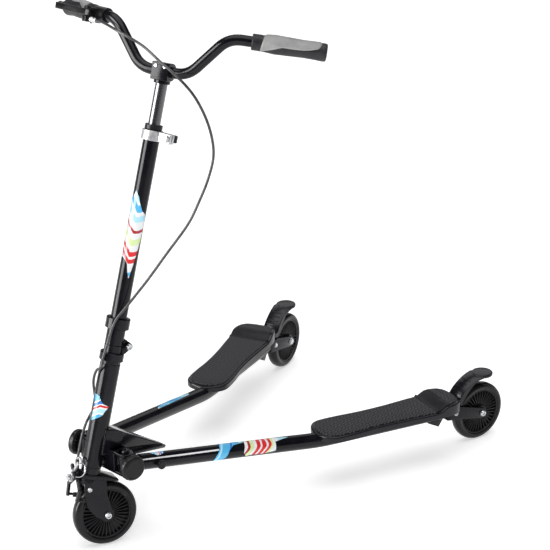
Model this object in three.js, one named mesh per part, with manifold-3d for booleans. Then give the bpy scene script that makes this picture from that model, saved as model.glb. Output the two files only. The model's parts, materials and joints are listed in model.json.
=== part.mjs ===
import * as THREE from 'three';
import { mergeVertices } from 'three/addons/utils/BufferGeometryUtils.js';
import Module from 'manifold-3d';

const wasm = await Module();
wasm.setup();

// Driving dimensions in millimetres, angles in radians
const degree = Math.PI / 180;
const wheelRadius = 62.5;
const headLean = 15.7 * degree;
const trail = 45;
const steerTurn = -20.3 * degree;
const barTurn = 20.1 * degree;
const barTilt = 2 * degree;
const headLow = 101;
const foldHeight = 336;
const foldRise = 36;
const headHigh = foldHeight - foldRise;
const barHeight = 844;
const extension = 106;
const columnTop = barHeight - extension;
const insertDepth = 235;
const headOuter = 19;
const steererOuter = 12.7;
const lowerTubeOuter = 15;
const lowerTubeInner = 13;
const upperTubeOuter = 11.1;
const upperTubeInner = 9.3;
const barOuter = 10;
const barInner = 8;
const armPivotAside = 54;
const armPivotBack = 65;
const armPivotHigh = 171;
const armAside = 3;
const armOuter = 15.4;
const armInner = 13.4;
const bendBack = 442;
const bendHigh = 94.1;
const bridgeAside = 22;
const bridgeBack = 737;
const bridgeHigh = 82.1;
const rearAxleBack = 831;
const rearAxleAside = 25;
const leftArmOut = 10.3 * degree;
const rightArmOut = 16.7 * degree;
const boardFront = 428;
const boardLength = 330;
const boardHigh = 116;
const boardTurn = 6.8 * degree;
const cableRadius = 2.5;

// Shared fits
const gap = 0.3;
const runningGap = 0.5;
const overrun = 5;
const wheelSides = 36;
const hubSides = 24;
const roundSides = 18;
const smallSides = 10;
const tubeSides = 14;
const mergeDistance = 0.0001;

// Materials, coloured from the photograph
function finish(color, roughness, metalness) {
  return () => new THREE.MeshStandardMaterial({ color, roughness, metalness });
}
const blackPaint = finish('#17181b', 0.35, 0.3);
const blackPlastic = finish('#1b1b1d', 0.55, 0.0);
const darkRubber = finish('#232326', 0.85, 0.0);
const tyreRubber = finish('#262627', 0.6, 0.0);
const greyRubber = finish('#a9a9a6', 0.7, 0.0);
const brightSteel = finish('#c9ccd0', 0.25, 0.9);
const castAlloy = finish('#b7babd', 0.4, 0.8);
const housingBlack = finish('#202124', 0.5, 0.0);

// Closed meshes and booleans
function signedVolume(geometry) {
  const place = geometry.attributes.position;
  const index = geometry.index;
  const a = new THREE.Vector3();
  const b = new THREE.Vector3();
  const c = new THREE.Vector3();
  let sum = 0;
  for (let i = 0; i < index.count; i += 3) {
    a.fromBufferAttribute(place, index.getX(i));
    b.fromBufferAttribute(place, index.getX(i + 1));
    c.fromBufferAttribute(place, index.getX(i + 2));
    sum += a.dot(b.cross(c));
  }
  return sum / 6;
}

function closed(geometry) {
  geometry.deleteAttribute('normal');
  geometry.deleteAttribute('uv');
  const merged = mergeVertices(geometry, mergeDistance);
  const kept = [];
  const index = merged.index;
  for (let i = 0; i < index.count; i += 3) {
    const corners = [index.getX(i), index.getX(i + 1), index.getX(i + 2)];
    if (new Set(corners).size === 3) kept.push(...corners);
  }
  merged.setIndex(kept);
  if (signedVolume(merged) < 0) {
    for (let i = 0; i < kept.length; i += 3) {
      [kept[i + 1], kept[i + 2]] = [kept[i + 2], kept[i + 1]];
    }
    merged.setIndex(kept);
  }
  return merged;
}

function solid(geometry) {
  const mesh = closed(geometry);
  const vertProperties = new Float32Array(mesh.attributes.position.array);
  const triVerts = new Uint32Array(mesh.index.array);
  return new wasm.Manifold(new wasm.Mesh({ numProp: 3, vertProperties, triVerts }));
}

function surface(body) {
  const mesh = body.getMesh();
  const geometry = new THREE.BufferGeometry();
  const places = new THREE.BufferAttribute(new Float32Array(mesh.vertProperties), 3);
  geometry.setAttribute('position', places);
  geometry.setIndex(new THREE.BufferAttribute(new Uint32Array(mesh.triVerts), 1));
  return geometry;
}

function join(...geometries) {
  return surface(geometries.map(solid).reduce((whole, next) => whole.add(next)));
}

function cut(geometry, ...tools) {
  return surface(tools.map(solid).reduce((whole, tool) => whole.subtract(tool), solid(geometry)));
}

function common(first, second) {
  return surface(solid(first).intersect(solid(second)));
}

// Basic forms: each starts at the origin and runs along +Z
function rod(radius, length, sides = smallSides) {
  const geometry = new THREE.CylinderGeometry(radius, radius, length, sides);
  return geometry.rotateX(Math.PI / 2).translate(0, 0, length / 2);
}

function turned(profile, sides = roundSides) {
  const points = profile.map(([radius, height]) => new THREE.Vector2(radius, height));
  return new THREE.LatheGeometry(points, sides).rotateX(Math.PI / 2);
}

function tube(outer, inner, length, sides = roundSides) {
  return turned([[inner, 0], [outer, 0], [outer, length], [inner, length], [inner, 0]], sides);
}

function block(wide, deep, high) {
  return new THREE.BoxGeometry(wide, deep, high);
}

function slab(outline, thickness) {
  const shape = new THREE.Shape(outline.map(([x, y]) => new THREE.Vector2(x, y)));
  return new THREE.ExtrudeGeometry(shape, { depth: thickness, bevelEnabled: false });
}

// A slab whose outline is drawn in the Y and Z directions, centred on X
function sideSlab(outline, thickness) {
  const turn = new THREE.Matrix4().makeBasis(
    new THREE.Vector3(0, 1, 0),
    new THREE.Vector3(0, 0, 1),
    new THREE.Vector3(1, 0, 0),
  );
  return slab(outline, thickness).applyMatrix4(turn).translate(-thickness / 2, 0, 0);
}

function ring(radius, sides) {
  const points = [];
  for (let i = 0; i < sides; i += 1) {
    const angle = (i / sides) * 2 * Math.PI;
    points.push(new THREE.Vector2(radius * Math.cos(angle), radius * Math.sin(angle)));
  }
  return points;
}

// A route through chosen stations: one step from each to the next
class Route extends THREE.Curve {
  constructor(stations) {
    super();
    this.stations = stations;
    this.last = stations.length - 1;
  }

  getPoint(share) {
    return this.stations[Math.round(share * this.last)].clone();
  }

  getPointAt(share) {
    return this.getPoint(share);
  }

  getTangentAt(share) {
    const at = Math.round(share * this.last);
    const next = this.stations[Math.min(at + 1, this.last)];
    return next.clone().sub(this.stations[Math.max(at - 1, 0)]).normalize();
  }
}

// Stations of straight runs whose corners are rounded over the given reach
function roundedRoute(corners, reach, bendSteps) {
  const stations = [corners[0]];
  for (let i = 1; i < corners.length - 1; i += 1) {
    const [from, corner, to] = corners.slice(i - 1, i + 2);
    const enter = corner.clone().lerp(from, reach / corner.distanceTo(from));
    const leave = corner.clone().lerp(to, reach / corner.distanceTo(to));
    stations.push(...new THREE.QuadraticBezierCurve3(enter, corner, leave).getPoints(bendSteps));
  }
  stations.push(corners.at(-1));
  return new Route(stations);
}

function pipe(path, outer, inner, steps, sides) {
  const shape = new THREE.Shape(ring(outer, sides));
  if (inner > 0) shape.holes.push(new THREE.Path(ring(inner, sides).reverse()));
  return new THREE.ExtrudeGeometry(shape, { extrudePath: path, steps, bevelEnabled: false });
}

// A flat strap with round joints through the given points
function strap(points, wide, thick) {
  const pieces = points.map(([x, y]) => rod(wide / 2, thick).translate(x, y, 0));
  for (let i = 1; i < points.length; i += 1) {
    const [fromX, fromY] = points[i - 1];
    const [toX, toY] = points[i];
    const run = block(Math.hypot(toX - fromX, toY - fromY), wide, thick);
    run.rotateZ(Math.atan2(toY - fromY, toX - fromX));
    pieces.push(run.translate((fromX + toX) / 2, (fromY + toY) / 2, thick / 2));
  }
  return join(...pieces);
}

function alongX(geometry) {
  return geometry.rotateY(Math.PI / 2);
}

function alongY(geometry) {
  return geometry.rotateX(-Math.PI / 2);
}

function arc(centre, radius, from, to, count) {
  const points = [];
  for (let i = 0; i <= count; i += 1) {
    const angle = from + ((to - from) * i) / count;
    points.push([centre[0] + radius * Math.cos(angle), centre[1] + radius * Math.sin(angle)]);
  }
  return points;
}

// Assembly
function group(name, parent) {
  const made = new THREE.Group();
  made.name = name;
  if (parent) parent.add(made);
  return made;
}

function part(name, geometry, material, parent) {
  const mesh = new THREE.Mesh(closed(geometry), material());
  mesh.geometry.computeVertexNormals();
  mesh.name = name;
  parent.add(mesh);
  return mesh;
}

const assembly = new THREE.Group();
const scooter = group('scooter', assembly);

// The steering axis leans back; its heights start level with the axles
const headAxis = group('head_axis', scooter);
headAxis.position.set(0, 0, wheelRadius);
headAxis.rotation.x = -headLean;
const steering = group('steering', headAxis);
steering.rotation.z = steerTurn;

// Head tube, open at both ends for the bearings
const headInner = 15;
const headForm = tube(headOuter, headInner, headHigh - headLow).translate(0, 0, headLow);
part('head_tube', headForm, blackPaint, headAxis);

// Headset: a stepped bearing at each end of the head tube
const headset = { flange: 18.4, seat: 14.6, bore: 13.3, seatDepth: 9, lowerThick: 12, upperThick: 5.4 };
const crownTop = headLow - headset.lowerThick - 2 * gap;
function bearing(thick) {
  const { flange, seat, bore, seatDepth } = headset;
  const high = thick + gap + seatDepth;
  const profile = [
    [bore, 0], [flange, 0], [flange, thick], [seat, thick], [seat, high], [bore, high], [bore, 0],
  ];
  return turned(profile);
}
const lowerBearing = bearing(headset.lowerThick).translate(0, 0, crownTop + gap);
part('lower_headset_bearing', lowerBearing, brightSteel, headAxis);
const upperBearing = bearing(headset.upperThick).rotateX(Math.PI);
upperBearing.translate(0, 0, headHigh + gap + headset.upperThick);
part('upper_headset_bearing', upperBearing, blackPlastic, headAxis);

// Neck: a pressed wedge welded behind the head tube, over a lip plate and the two arm brackets
const neck = {
  topBack: 22, topHigh: 178, apexBack: 166, apexHigh: 136, noseBack: 170, lipLow: 128, lipHigh: 134,
  startHalf: 22, wideHalf: 26, wideBack: 40, apexHalf: 8, wall: 2.5,
  lipStartHalf: 34, lipWideHalf: 38, lipWideBack: 45, lipNoseHalf: 12, lipNoseBack: 172,
};
const bracket = {
  half: 36, front: 52, back: 80, earRound: 14, low: 148.5, high: 193, earThick: 5.5, pinRadius: 5,
};
const knuckleHigh = bracket.high - bracket.low - 2 * bracket.earThick - 2 * gap;
const knuckleLow = bracket.low + bracket.earThick + gap;

function wedge(inset) {
  const side = [
    [0, neck.topHigh - inset], [neck.topBack, neck.topHigh - inset],
    [neck.apexBack - inset, neck.apexHigh - inset], [neck.noseBack - 2 * inset, neck.lipHigh - inset],
    [neck.noseBack - 2 * inset, neck.lipLow - inset * overrun], [0, neck.lipLow - inset * overrun],
  ];
  const plan = [
    [inset - neck.startHalf, 0], [neck.startHalf - inset, 0], [neck.wideHalf - inset, neck.wideBack],
    [neck.apexHalf - inset, neck.noseBack], [inset - neck.apexHalf, neck.noseBack],
    [inset - neck.wideHalf, neck.wideBack],
  ];
  return common(sideSlab(side, 2 * neck.lipWideHalf), slab(plan, 2 * neck.topHigh));
}

function neckBox() {
  const lip = slab([
    [-neck.lipStartHalf, headOuter], [neck.lipStartHalf, headOuter], [neck.lipWideHalf, neck.lipWideBack],
    [neck.lipNoseHalf, neck.lipNoseBack], [-neck.lipNoseHalf, neck.lipNoseBack],
    [-neck.lipWideHalf, neck.lipWideBack],
  ], neck.lipHigh - neck.lipLow).translate(0, 0, neck.lipLow);
  const cavity = wedge(neck.wall);
  const keepHead = rod(headOuter + neck.wall, neck.topHigh * 2);
  const shell = cut(join(wedge(0), lip), cut(cavity, keepHead));
  const yoke = block(2 * bracket.half, bracket.back - bracket.front, bracket.high - bracket.low);
  yoke.translate(0, (bracket.back + bracket.front) / 2, (bracket.high + bracket.low) / 2);
  const ears = [];
  const pinHoles = [];
  for (const side of [-1, 1]) {
    for (const low of [bracket.low, bracket.high - bracket.earThick]) {
      const reach = block(armPivotAside, 2 * bracket.earRound, bracket.earThick);
      ears.push(reach.translate((side * armPivotAside) / 2, armPivotBack, low + bracket.earThick / 2));
      ears.push(rod(bracket.earRound, bracket.earThick).translate(side * armPivotAside, armPivotBack, low));
    }
    const hole = rod(bracket.pinRadius + gap, bracket.high - bracket.low + 2 * overrun);
    pinHoles.push(hole.translate(side * armPivotAside, armPivotBack, bracket.low - overrun));
  }
  const upright = new THREE.Matrix4().makeRotationX(headLean);
  upright.multiply(new THREE.Matrix4().makeTranslation(0, 0, -wheelRadius));
  const mount = cut(join(yoke, ...ears), ...pinHoles).applyMatrix4(upright);
  const headCut = rod(headOuter + gap, 2 * headHigh, roundSides);
  return cut(join(shell, mount), headCut);
}
part('neck_box', neckBox(), blackPaint, headAxis);

// Arm pivot bolts, upright through the brackets
const pivotBolt = { headRadius: 8, headThick: 5 };
function pivotPin() {
  const between = bracket.high - bracket.low + 2 * gap;
  const shaft = rod(bracket.pinRadius, between + 2 * pivotBolt.headThick);
  shaft.translate(0, 0, -pivotBolt.headThick);
  const low = rod(pivotBolt.headRadius, pivotBolt.headThick, 6).translate(0, 0, -pivotBolt.headThick);
  const high = rod(pivotBolt.headRadius, pivotBolt.headThick, 6).translate(0, 0, between);
  return join(shaft, low, high).translate(0, 0, bracket.low - gap);
}

// Wheels: a rounded tyre on a ribbed hub that holds two bearings and their spacer
const tyre = {
  inner: 48.8, shoulder: 10.5, side: 12, sideAt: 55, crownAt: 9.4, crownRadius: 60.6, treadHalf: 3,
};
const hub = {
  outer: 48.5, rimInner: 45.6, rimHalf: 10.5, barrel: 14, barrelHalf: 15.4, webHalf: 2.5, seat: 11.2,
  seatDepth: 7.4, core: 8, ribs: 16, ribThick: 2.4, ribHalf: 9.4,
};
const ballBearing = { outer: 10.9, thick: 7, bore: 4.3, spacer: 6.5 };
const axle = { radius: 4, headRadius: 6.5, headThick: 5, plateInner: 16, plateThick: 3 };

function tyreForm() {
  const half = [
    [tyre.inner, tyre.shoulder], [tyre.sideAt, tyre.side], [tyre.crownRadius, tyre.crownAt],
    [wheelRadius, tyre.treadHalf],
  ];
  const other = half.slice().reverse().map(([radius, at]) => [radius, -at]);
  const profile = [...half, ...other, half[0]];
  return alongX(turned(profile, wheelSides)).rotateX(Math.PI / wheelSides);
}

function hubForm() {
  const half = [
    [hub.seat, hub.barrelHalf], [hub.barrel, hub.barrelHalf], [hub.barrel, hub.webHalf],
    [hub.rimInner, hub.webHalf], [hub.rimInner, hub.rimHalf], [hub.outer, hub.rimHalf],
  ];
  const bore = [[hub.core, hub.barrelHalf - hub.seatDepth], [hub.seat, hub.barrelHalf - hub.seatDepth]];
  const other = (list) => list.slice().reverse().map(([radius, at]) => [radius, -at]);
  const profile = [...half, ...other(half), ...other(bore), ...bore, half[0]];
  const body = turned(profile, hubSides);
  const vanes = [];
  for (let i = 0; i < hub.ribs; i += 1) {
    const length = hub.rimInner - hub.barrel + hub.ribThick;
    const vane = block(length, hub.ribThick, 2 * hub.ribHalf);
    vane.translate((hub.rimInner + hub.barrel) / 2, 0, 0);
    vanes.push(vane.rotateZ((i / hub.ribs) * 2 * Math.PI));
  }
  return alongX(join(body, ...vanes)).rotateX(Math.PI / hubSides);
}

function bearingPair() {
  const { outer, thick, bore, spacer } = ballBearing;
  const half = hub.barrelHalf;
  const inner = hub.barrelHalf - thick;
  const profile = [
    [bore, -half], [outer, -half], [outer, -inner], [spacer, -inner],
    [spacer, inner], [outer, inner], [outer, half], [bore, half], [bore, -half],
  ];
  return alongX(turned(profile, smallSides));
}

function axleBolt(reach) {
  const shaft = rod(axle.radius, 2 * reach + axle.headThick).translate(0, 0, -reach);
  const head = rod(axle.headRadius, axle.headThick).translate(0, 0, reach);
  const nut = rod(axle.headRadius, axle.headThick, 6).translate(0, 0, -reach - axle.headThick);
  return alongX(join(shaft, head, nut));
}

function wheel(prefix, parent) {
  part(`${prefix}_tyre`, tyreForm(), tyreRubber, parent);
  part(`${prefix}_hub`, hubForm(), blackPlastic, parent);
  part(`${prefix}_wheel_bearings`, bearingPair(), brightSteel, parent);
}
const axleReach = axle.plateInner + axle.plateThick + gap;

// Front wheel: it trails the steering axis, turned and leaning with the fork, and just meets the floor
const trailAcross = trail * Math.cos(headLean);
const leanOfWheel = Math.asin(Math.abs(Math.sin(steerTurn) * Math.sin(headLean)));
const flatShare = Math.cos(Math.PI / wheelSides);
const frontDrop = wheelRadius * Math.cos(leanOfWheel) + tyre.treadHalf * Math.sin(leanOfWheel);
const backDrop = trailAcross * Math.cos(steerTurn) * Math.sin(headLean);
const rearDrop = wheelRadius * flatShare;
const axleAlong = (frontDrop - rearDrop + backDrop) / Math.cos(headLean);
const frontWheel = group('front_wheel', steering);
frontWheel.position.set(0, trailAcross, axleAlong);
wheel('front', frontWheel);
const frontAxle = axleBolt(axleReach).translate(0, trailAcross, axleAlong);
part('front_axle', frontAxle, brightSteel, steering);

// Fork: two plates under a folded crown, with the steerer welded in
const fork = {
  bossRadius: 11, bossFrom: -110 * degree, bossTo: 28 * degree, bossSteps: 6, plateTop: 82,
  crownFront: -20, crownBack: 24, crownLow: 70, crownStepBack: -2, crownRiseBack: 6, crownThin: 79,
  stubBack: 52, stubHigh: 83, steererDown: 16, steererInner: 10.7, boltBack: -3, boltHigh: 60,
  boltRadius: 2.5, boltHead: 4.6, boltHeadThick: 3.5,
};
const bladeFront = [[-17, fork.plateTop], [-15.4, 76.7], [-9.6, 45.7], [0.7, 22.5], [19.6, 7.4]];
const bladeBack = [[32.6, 55.2], [27.4, fork.plateTop]];

// Caliper brake values, also used by the crown that is drilled for its bolt
const caliper = {
  pivotHigh: 76.5, boltRadius: 3, boltFront: -40, boltBack: -6, nutRadius: 5.5, nutThick: 4,
  layerThick: 5, backLayer: -26, armWide: 9, footHigh: 38, shoulderAside: 22, shoulderHigh: 58,
  topAside: -15, topHigh: 104, shortTopAside: -21, shortTopHigh: 92,
  padLength: 24, padHigh: 9, padThick: 2.2, padGap: 1.2, padFront: -20, postRadius: 2.4,
};
const caliperFoot = tyre.side + caliper.padGap + caliper.padThick + gap + caliper.postRadius;
const caliperLayers = [caliper.backLayer, caliper.backLayer - caliper.layerThick - runningGap];

const forkHole = axle.radius + gap;
const steererTop = foldHeight - fork.steererDown;
function blade() {
  const boss = arc([trailAcross, axleAlong], fork.bossRadius, fork.bossFrom, fork.bossTo, fork.bossSteps);
  return sideSlab([...bladeFront, ...boss, ...bladeBack], axle.plateThick);
}
function forkForm() {
  const crown = sideSlab([
    [fork.crownFront, fork.crownLow], [fork.crownStepBack, fork.crownLow],
    [fork.crownRiseBack, fork.crownThin], [fork.stubBack, fork.crownThin],
    [fork.stubBack, fork.stubHigh], [fork.crownBack, crownTop],
    [fork.crownFront, crownTop],
  ], 2 * (axle.plateInner + axle.plateThick));
  const aside = axle.plateInner + axle.plateThick / 2;
  const steerer = rod(steererOuter, steererTop - fork.crownThin, roundSides);
  steerer.translate(0, 0, fork.crownThin);
  const steererBore = rod(fork.steererInner, steererTop, roundSides).translate(0, 0, crownTop);
  const across = 2 * axleReach + 2 * overrun;
  const axleHole = alongX(rod(forkHole, across)).translate(-across / 2, trailAcross, axleAlong);
  const boltHole = alongX(rod(fork.boltRadius + gap, across));
  boltHole.translate(-across / 2, fork.boltBack, fork.boltHigh);
  const brakeHole = alongY(rod(caliper.boltRadius + gap, 2 * headOuter));
  brakeHole.translate(0, fork.crownFront - overrun, caliper.pivotHigh);
  const blades = [-aside, aside].map((across) => blade().translate(across, 0, 0));
  return cut(join(crown, ...blades, steerer), steererBore, axleHole, boltHole, brakeHole);
}
part('fork', forkForm(), blackPaint, steering);

function forkBolt() {
  const reach = axle.plateInner + axle.plateThick + gap;
  const shaft = rod(fork.boltRadius, 2 * reach + fork.boltHeadThick).translate(0, 0, -reach);
  const head = rod(fork.boltHead, fork.boltHeadThick).translate(0, 0, reach);
  const nut = rod(fork.boltHead, fork.boltHeadThick, 6).translate(0, 0, -reach - fork.boltHeadThick);
  return alongX(join(shaft, head, nut)).translate(0, fork.boltBack, fork.boltHigh);
}
part('fork_bolt', forkBolt(), brightSteel, steering);

// Caliper brake: two arms crossing on one bolt, each with a pad that meets the tyre's side
const caliperBolt = join(
  rod(caliper.boltRadius, caliper.boltBack - caliper.boltFront + caliper.nutThick),
  rod(caliper.nutRadius, caliper.nutThick, 6),
);
const caliperBoltFront = caliper.boltFront - caliper.nutThick;
alongY(caliperBolt).translate(0, caliperBoltFront, caliper.pivotHigh);
part('caliper_bolt', caliperBolt, brightSteel, steering);

function caliperArm(side, layer, topAside, topHigh) {
  const { pivotHigh, shoulderAside, shoulderHigh, footHigh, armWide, layerThick } = caliper;
  const { postRadius, padFront } = caliper;
  const shoulder = [side * shoulderAside, shoulderHigh - pivotHigh];
  const lower = strap([[0, 0], shoulder, [side * caliperFoot, footHigh - pivotHigh]], armWide, layerThick);
  const upper = strap([[0, 0], [topAside, topHigh - pivotHigh]], armWide, layerThick);
  const plate = join(lower, upper).rotateX(Math.PI / 2).translate(0, layer + layerThick, 0);
  const post = alongY(rod(postRadius, padFront - layer + caliper.padLength / 3));
  post.translate(side * caliperFoot, layer, footHigh - pivotHigh);
  const hole = alongY(rod(caliper.boltRadius + gap, 4 * layerThick)).translate(0, layer - layerThick, 0);
  return cut(join(plate, post), hole);
}
function brakePad(side) {
  const pad = block(caliper.padThick, caliper.padLength, caliper.padHigh);
  const aside = side * (tyre.side + caliper.padGap + caliper.padThick / 2);
  const back = caliper.padFront + caliper.padLength / 2;
  return pad.translate(aside, back, caliper.footHigh - caliper.pivotHigh);
}
for (const [name, side, layer, topAside, topHigh] of [
  ['left', 1, caliperLayers[0], caliper.topAside, caliper.topHigh],
  ['right', -1, caliperLayers[1], caliper.shortTopAside, caliper.shortTopHigh],
]) {
  const swing = group(`caliper_${name}`, steering);
  swing.position.z = caliper.pivotHigh;
  part(`caliper_arm_${name}`, caliperArm(side, layer, topAside, topHigh), blackPaint, swing);
  part(`brake_pad_${name}`, brakePad(side), darkRubber, swing);
}

// Fold joint: the base is clamped on the steerer, the upper half is welded to the lower tube
const fold = {
  sleeve: 17, ring: 22.4, ringDown: 14.5, ringUp: 31, ringLong: 20, pinBack: 26, pinRadius: 3, knuckle: 7,
  tongueHalf: 7, earIn: 7.4, earOut: 13, webHigh: 14, headRadius: 6.2, headThick: 4,
};
const ringLow = headHigh + headset.upperThick + 2 * gap;
const ringHigh = foldHeight - fold.ringDown;
const upperRingLow = foldHeight + fold.ringUp;
const upperRingHigh = upperRingLow + fold.ringLong;
const sleeveBore = steererOuter + gap;
function hingeWeb(half, from, low, high) {
  const web = block(2 * half, fold.pinBack - from, high - low);
  return web.translate(0, (fold.pinBack + from) / 2, (high + low) / 2);
}
function foldBase() {
  const profile = [
    [sleeveBore, ringLow], [fold.ring, ringLow], [fold.ring, ringHigh], [fold.sleeve, ringHigh],
    [fold.sleeve, foldHeight - gap], [sleeveBore, foldHeight - gap], [sleeveBore, ringLow],
  ];
  const barrel = alongX(rod(fold.knuckle, 2 * fold.earOut));
  barrel.translate(-fold.earOut, fold.pinBack, foldHeight);
  const web = hingeWeb(fold.earOut, sleeveBore, foldHeight - fold.webHigh, foldHeight - gap);
  const slot = block(2 * fold.earIn, 4 * fold.knuckle, 6 * fold.knuckle);
  slot.translate(0, fold.sleeve + 2 * fold.knuckle + gap, foldHeight);
  const hole = alongX(rod(fold.pinRadius + gap, 4 * fold.earOut));
  hole.translate(-2 * fold.earOut, fold.pinBack, foldHeight);
  const bore = rod(sleeveBore, 2 * foldHeight, roundSides);
  return cut(join(turned(profile), barrel, web), slot, hole, bore);
}
part('fold_base', foldBase(), blackPaint, steering);

const pinReach = fold.earOut + gap;
function foldPin() {
  const shaft = rod(fold.pinRadius, 2 * pinReach + fold.headThick).translate(0, 0, -pinReach);
  const head = rod(fold.headRadius, fold.headThick).translate(0, 0, pinReach);
  const nut = rod(fold.headRadius, fold.headThick, 6).translate(0, 0, -pinReach - fold.headThick);
  return alongX(join(shaft, head, nut)).translate(0, fold.pinBack, foldHeight);
}
part('fold_pin', foldPin(), brightSteel, steering);

const column = group('column', steering);
column.position.set(0, fold.pinBack, foldHeight);
const columnBase = group('column_base', column);
columnBase.position.set(0, -fold.pinBack, -foldHeight);
function lowerTube() {
  const profile = [
    [lowerTubeInner, foldHeight + gap], [fold.sleeve, foldHeight + gap], [fold.sleeve, upperRingLow],
    [fold.ring, upperRingLow], [fold.ring, upperRingHigh], [lowerTubeOuter, upperRingHigh],
    [lowerTubeOuter, columnTop], [lowerTubeInner, columnTop], [lowerTubeInner, foldHeight + gap],
  ];
  const barrel = alongX(rod(fold.knuckle, 2 * fold.tongueHalf));
  barrel.translate(-fold.tongueHalf, fold.pinBack, foldHeight);
  const web = hingeWeb(fold.tongueHalf, lowerTubeInner, foldHeight + gap, foldHeight + fold.webHigh);
  const hole = alongX(rod(fold.pinRadius + gap, 4 * fold.earOut));
  hole.translate(-2 * fold.earOut, fold.pinBack, foldHeight);
  return cut(join(turned(profile), barrel, web), hole);
}
part('lower_tube', lowerTube(), blackPaint, columnBase);

// Tube bush at the top of the lower tube
const bush = { outer: 16.2, bore: upperTubeOuter + gap, high: 9, skirt: 12 };
const bushForm = turned([
  [bush.bore, columnTop + bush.high], [bush.outer, columnTop + bush.high], [bush.outer, columnTop + gap],
  [lowerTubeInner - gap, columnTop + gap], [lowerTubeInner - gap, columnTop - bush.skirt],
  [bush.bore, columnTop - bush.skirt], [bush.bore, columnTop + bush.high],
]);
part('tube_bush', bushForm, blackPlastic, columnBase);

// Quick release: a split collar, its bolt and the lever that closes it
const collar = {
  down: 1, long: 18, outer: 19.5, turn: -55.2 * degree, earBack: 43, earHalf: 7.5, slotHalf: 1.4,
  boltBack: 35, boltRadius: 3, nutRadius: 7, nutThick: 7, leverReach: 52, leverWide: 13, leverThick: 4,
  camRadius: 8,
};
const collarLow = columnTop - collar.down - collar.long;
const collarMid = collarLow + collar.long / 2;
const collarGroup = group('collar', columnBase);
collarGroup.rotation.z = collar.turn;
function collarForm() {
  const { long } = collar;
  const band = tube(collar.outer, lowerTubeOuter + gap, long);
  const ears = block(2 * collar.earHalf, collar.earBack - lowerTubeOuter, long);
  ears.translate(0, (collar.earBack + lowerTubeOuter) / 2, long / 2);
  const slot = block(2 * collar.slotHalf, collar.earBack, long + 2 * overrun);
  slot.translate(0, lowerTubeInner + collar.earBack / 2, long / 2);
  const hole = alongX(rod(collar.boltRadius + gap, 4 * collar.earHalf));
  hole.translate(-2 * collar.earHalf, collar.boltBack, long / 2);
  const bore = rod(lowerTubeOuter + gap, 4 * long, roundSides).translate(0, 0, -long);
  return cut(join(band, ears), slot, hole, bore).translate(0, 0, collarLow);
}
part('seat_collar', collarForm(), castAlloy, collarGroup);
const camAside = collar.earHalf + gap + collar.camRadius;
const nutAside = collar.earHalf + gap;
const collarBolt = alongX(join(
  rod(collar.boltRadius, camAside + nutAside + collar.nutThick).translate(0, 0, -camAside),
  rod(collar.nutRadius, collar.nutThick).translate(0, 0, nutAside),
));
const crossPin = rod(collar.boltRadius, collar.leverWide).translate(-camAside, 0, -collar.leverWide / 2);
const collarScrew = join(collarBolt, crossPin).translate(0, collar.boltBack, collarMid);
part('collar_bolt', collarScrew, brightSteel, collarGroup);

const leverGroup = group('collar_lever', collarGroup);
leverGroup.position.set(-camAside, collar.boltBack, collarMid);
function collarLever() {
  const { camRadius, leverWide, leverReach, leverThick, boltRadius } = collar;
  const cam = rod(camRadius, leverWide).translate(0, 0, -leverWide / 2);
  const inner = leverThick - camRadius;
  const outline = [
    [inner, -camRadius / 2], [inner - leverThick / 2, -leverReach / 2], [inner, -leverReach],
    [-camRadius, -leverReach],
    [-camRadius - leverThick / 2, -leverReach / 2], [-camRadius, 0], [inner, 0],
  ];
  const arm = slab(outline, leverWide).translate(0, 0, -leverWide / 2);
  const pinHole = rod(boltRadius + gap, 2 * leverWide).translate(0, 0, -leverWide);
  const slotHigh = 2 * (boltRadius + gap);
  const slot = rod(camRadius + runningGap, slotHigh, smallSides).translate(0, 0, -slotHigh / 2);
  return cut(join(cam, arm), pinHole, slot);
}
part('collar_lever', collarLever(), blackPaint, leverGroup);

// Upper tube slides in the lower tube and carries the bar clamp
const sliding = group('sliding', columnBase);
const upperLow = columnTop - insertDepth;
const clamp = { barOuter: 16, half: 17, socketOuter: 15, socketDown: 22, tubeDown: 14, plateFront: 18 };
const upperLong = barHeight - clamp.tubeDown - upperLow;
const upperForm = tube(upperTubeOuter, upperTubeInner, upperLong).translate(0, 0, upperLow);
part('upper_tube', upperForm, blackPaint, sliding);

// Handlebar: one bent tube, low in the clamp, rising to a knee on each side and swept back to its ends
const bar = group('bar', sliding);
bar.position.z = barHeight;
bar.rotation.z = barTurn - steerTurn;
const tilted = group('tilted_bar', bar);
tilted.rotation.y = -barTilt;
const barShape = {
  lowAside: 47.8, kneeAside: 113.5, kneeBack: 6, kneeRise: 78, endAside: 273, endBack: 76.9, endRise: 80.2,
  bendReach: 20, bendSteps: 4, shortBy: 30,
};
const barKnee = new THREE.Vector3(barShape.kneeAside, barShape.kneeBack, barShape.kneeRise);
const barEnd = new THREE.Vector3(barShape.endAside, barShape.endBack, barShape.endRise);
const endRun = barEnd.clone().sub(barKnee).normalize();
const tubeEnd = barEnd.clone().addScaledVector(endRun, -barShape.shortBy);
function barRoute() {
  const half = [new THREE.Vector3(barShape.lowAside, 0, 0), barKnee, tubeEnd];
  const mirrored = half.slice().reverse().map((place) => place.clone().setX(-place.x));
  return roundedRoute([...mirrored, ...half], barShape.bendReach, barShape.bendSteps);
}
const barSides = 12;
const barForm = pipe(barRoute(), barOuter, barInner, barRoute().last, barSides);
part('handlebar', barForm, blackPaint, tilted);

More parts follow.
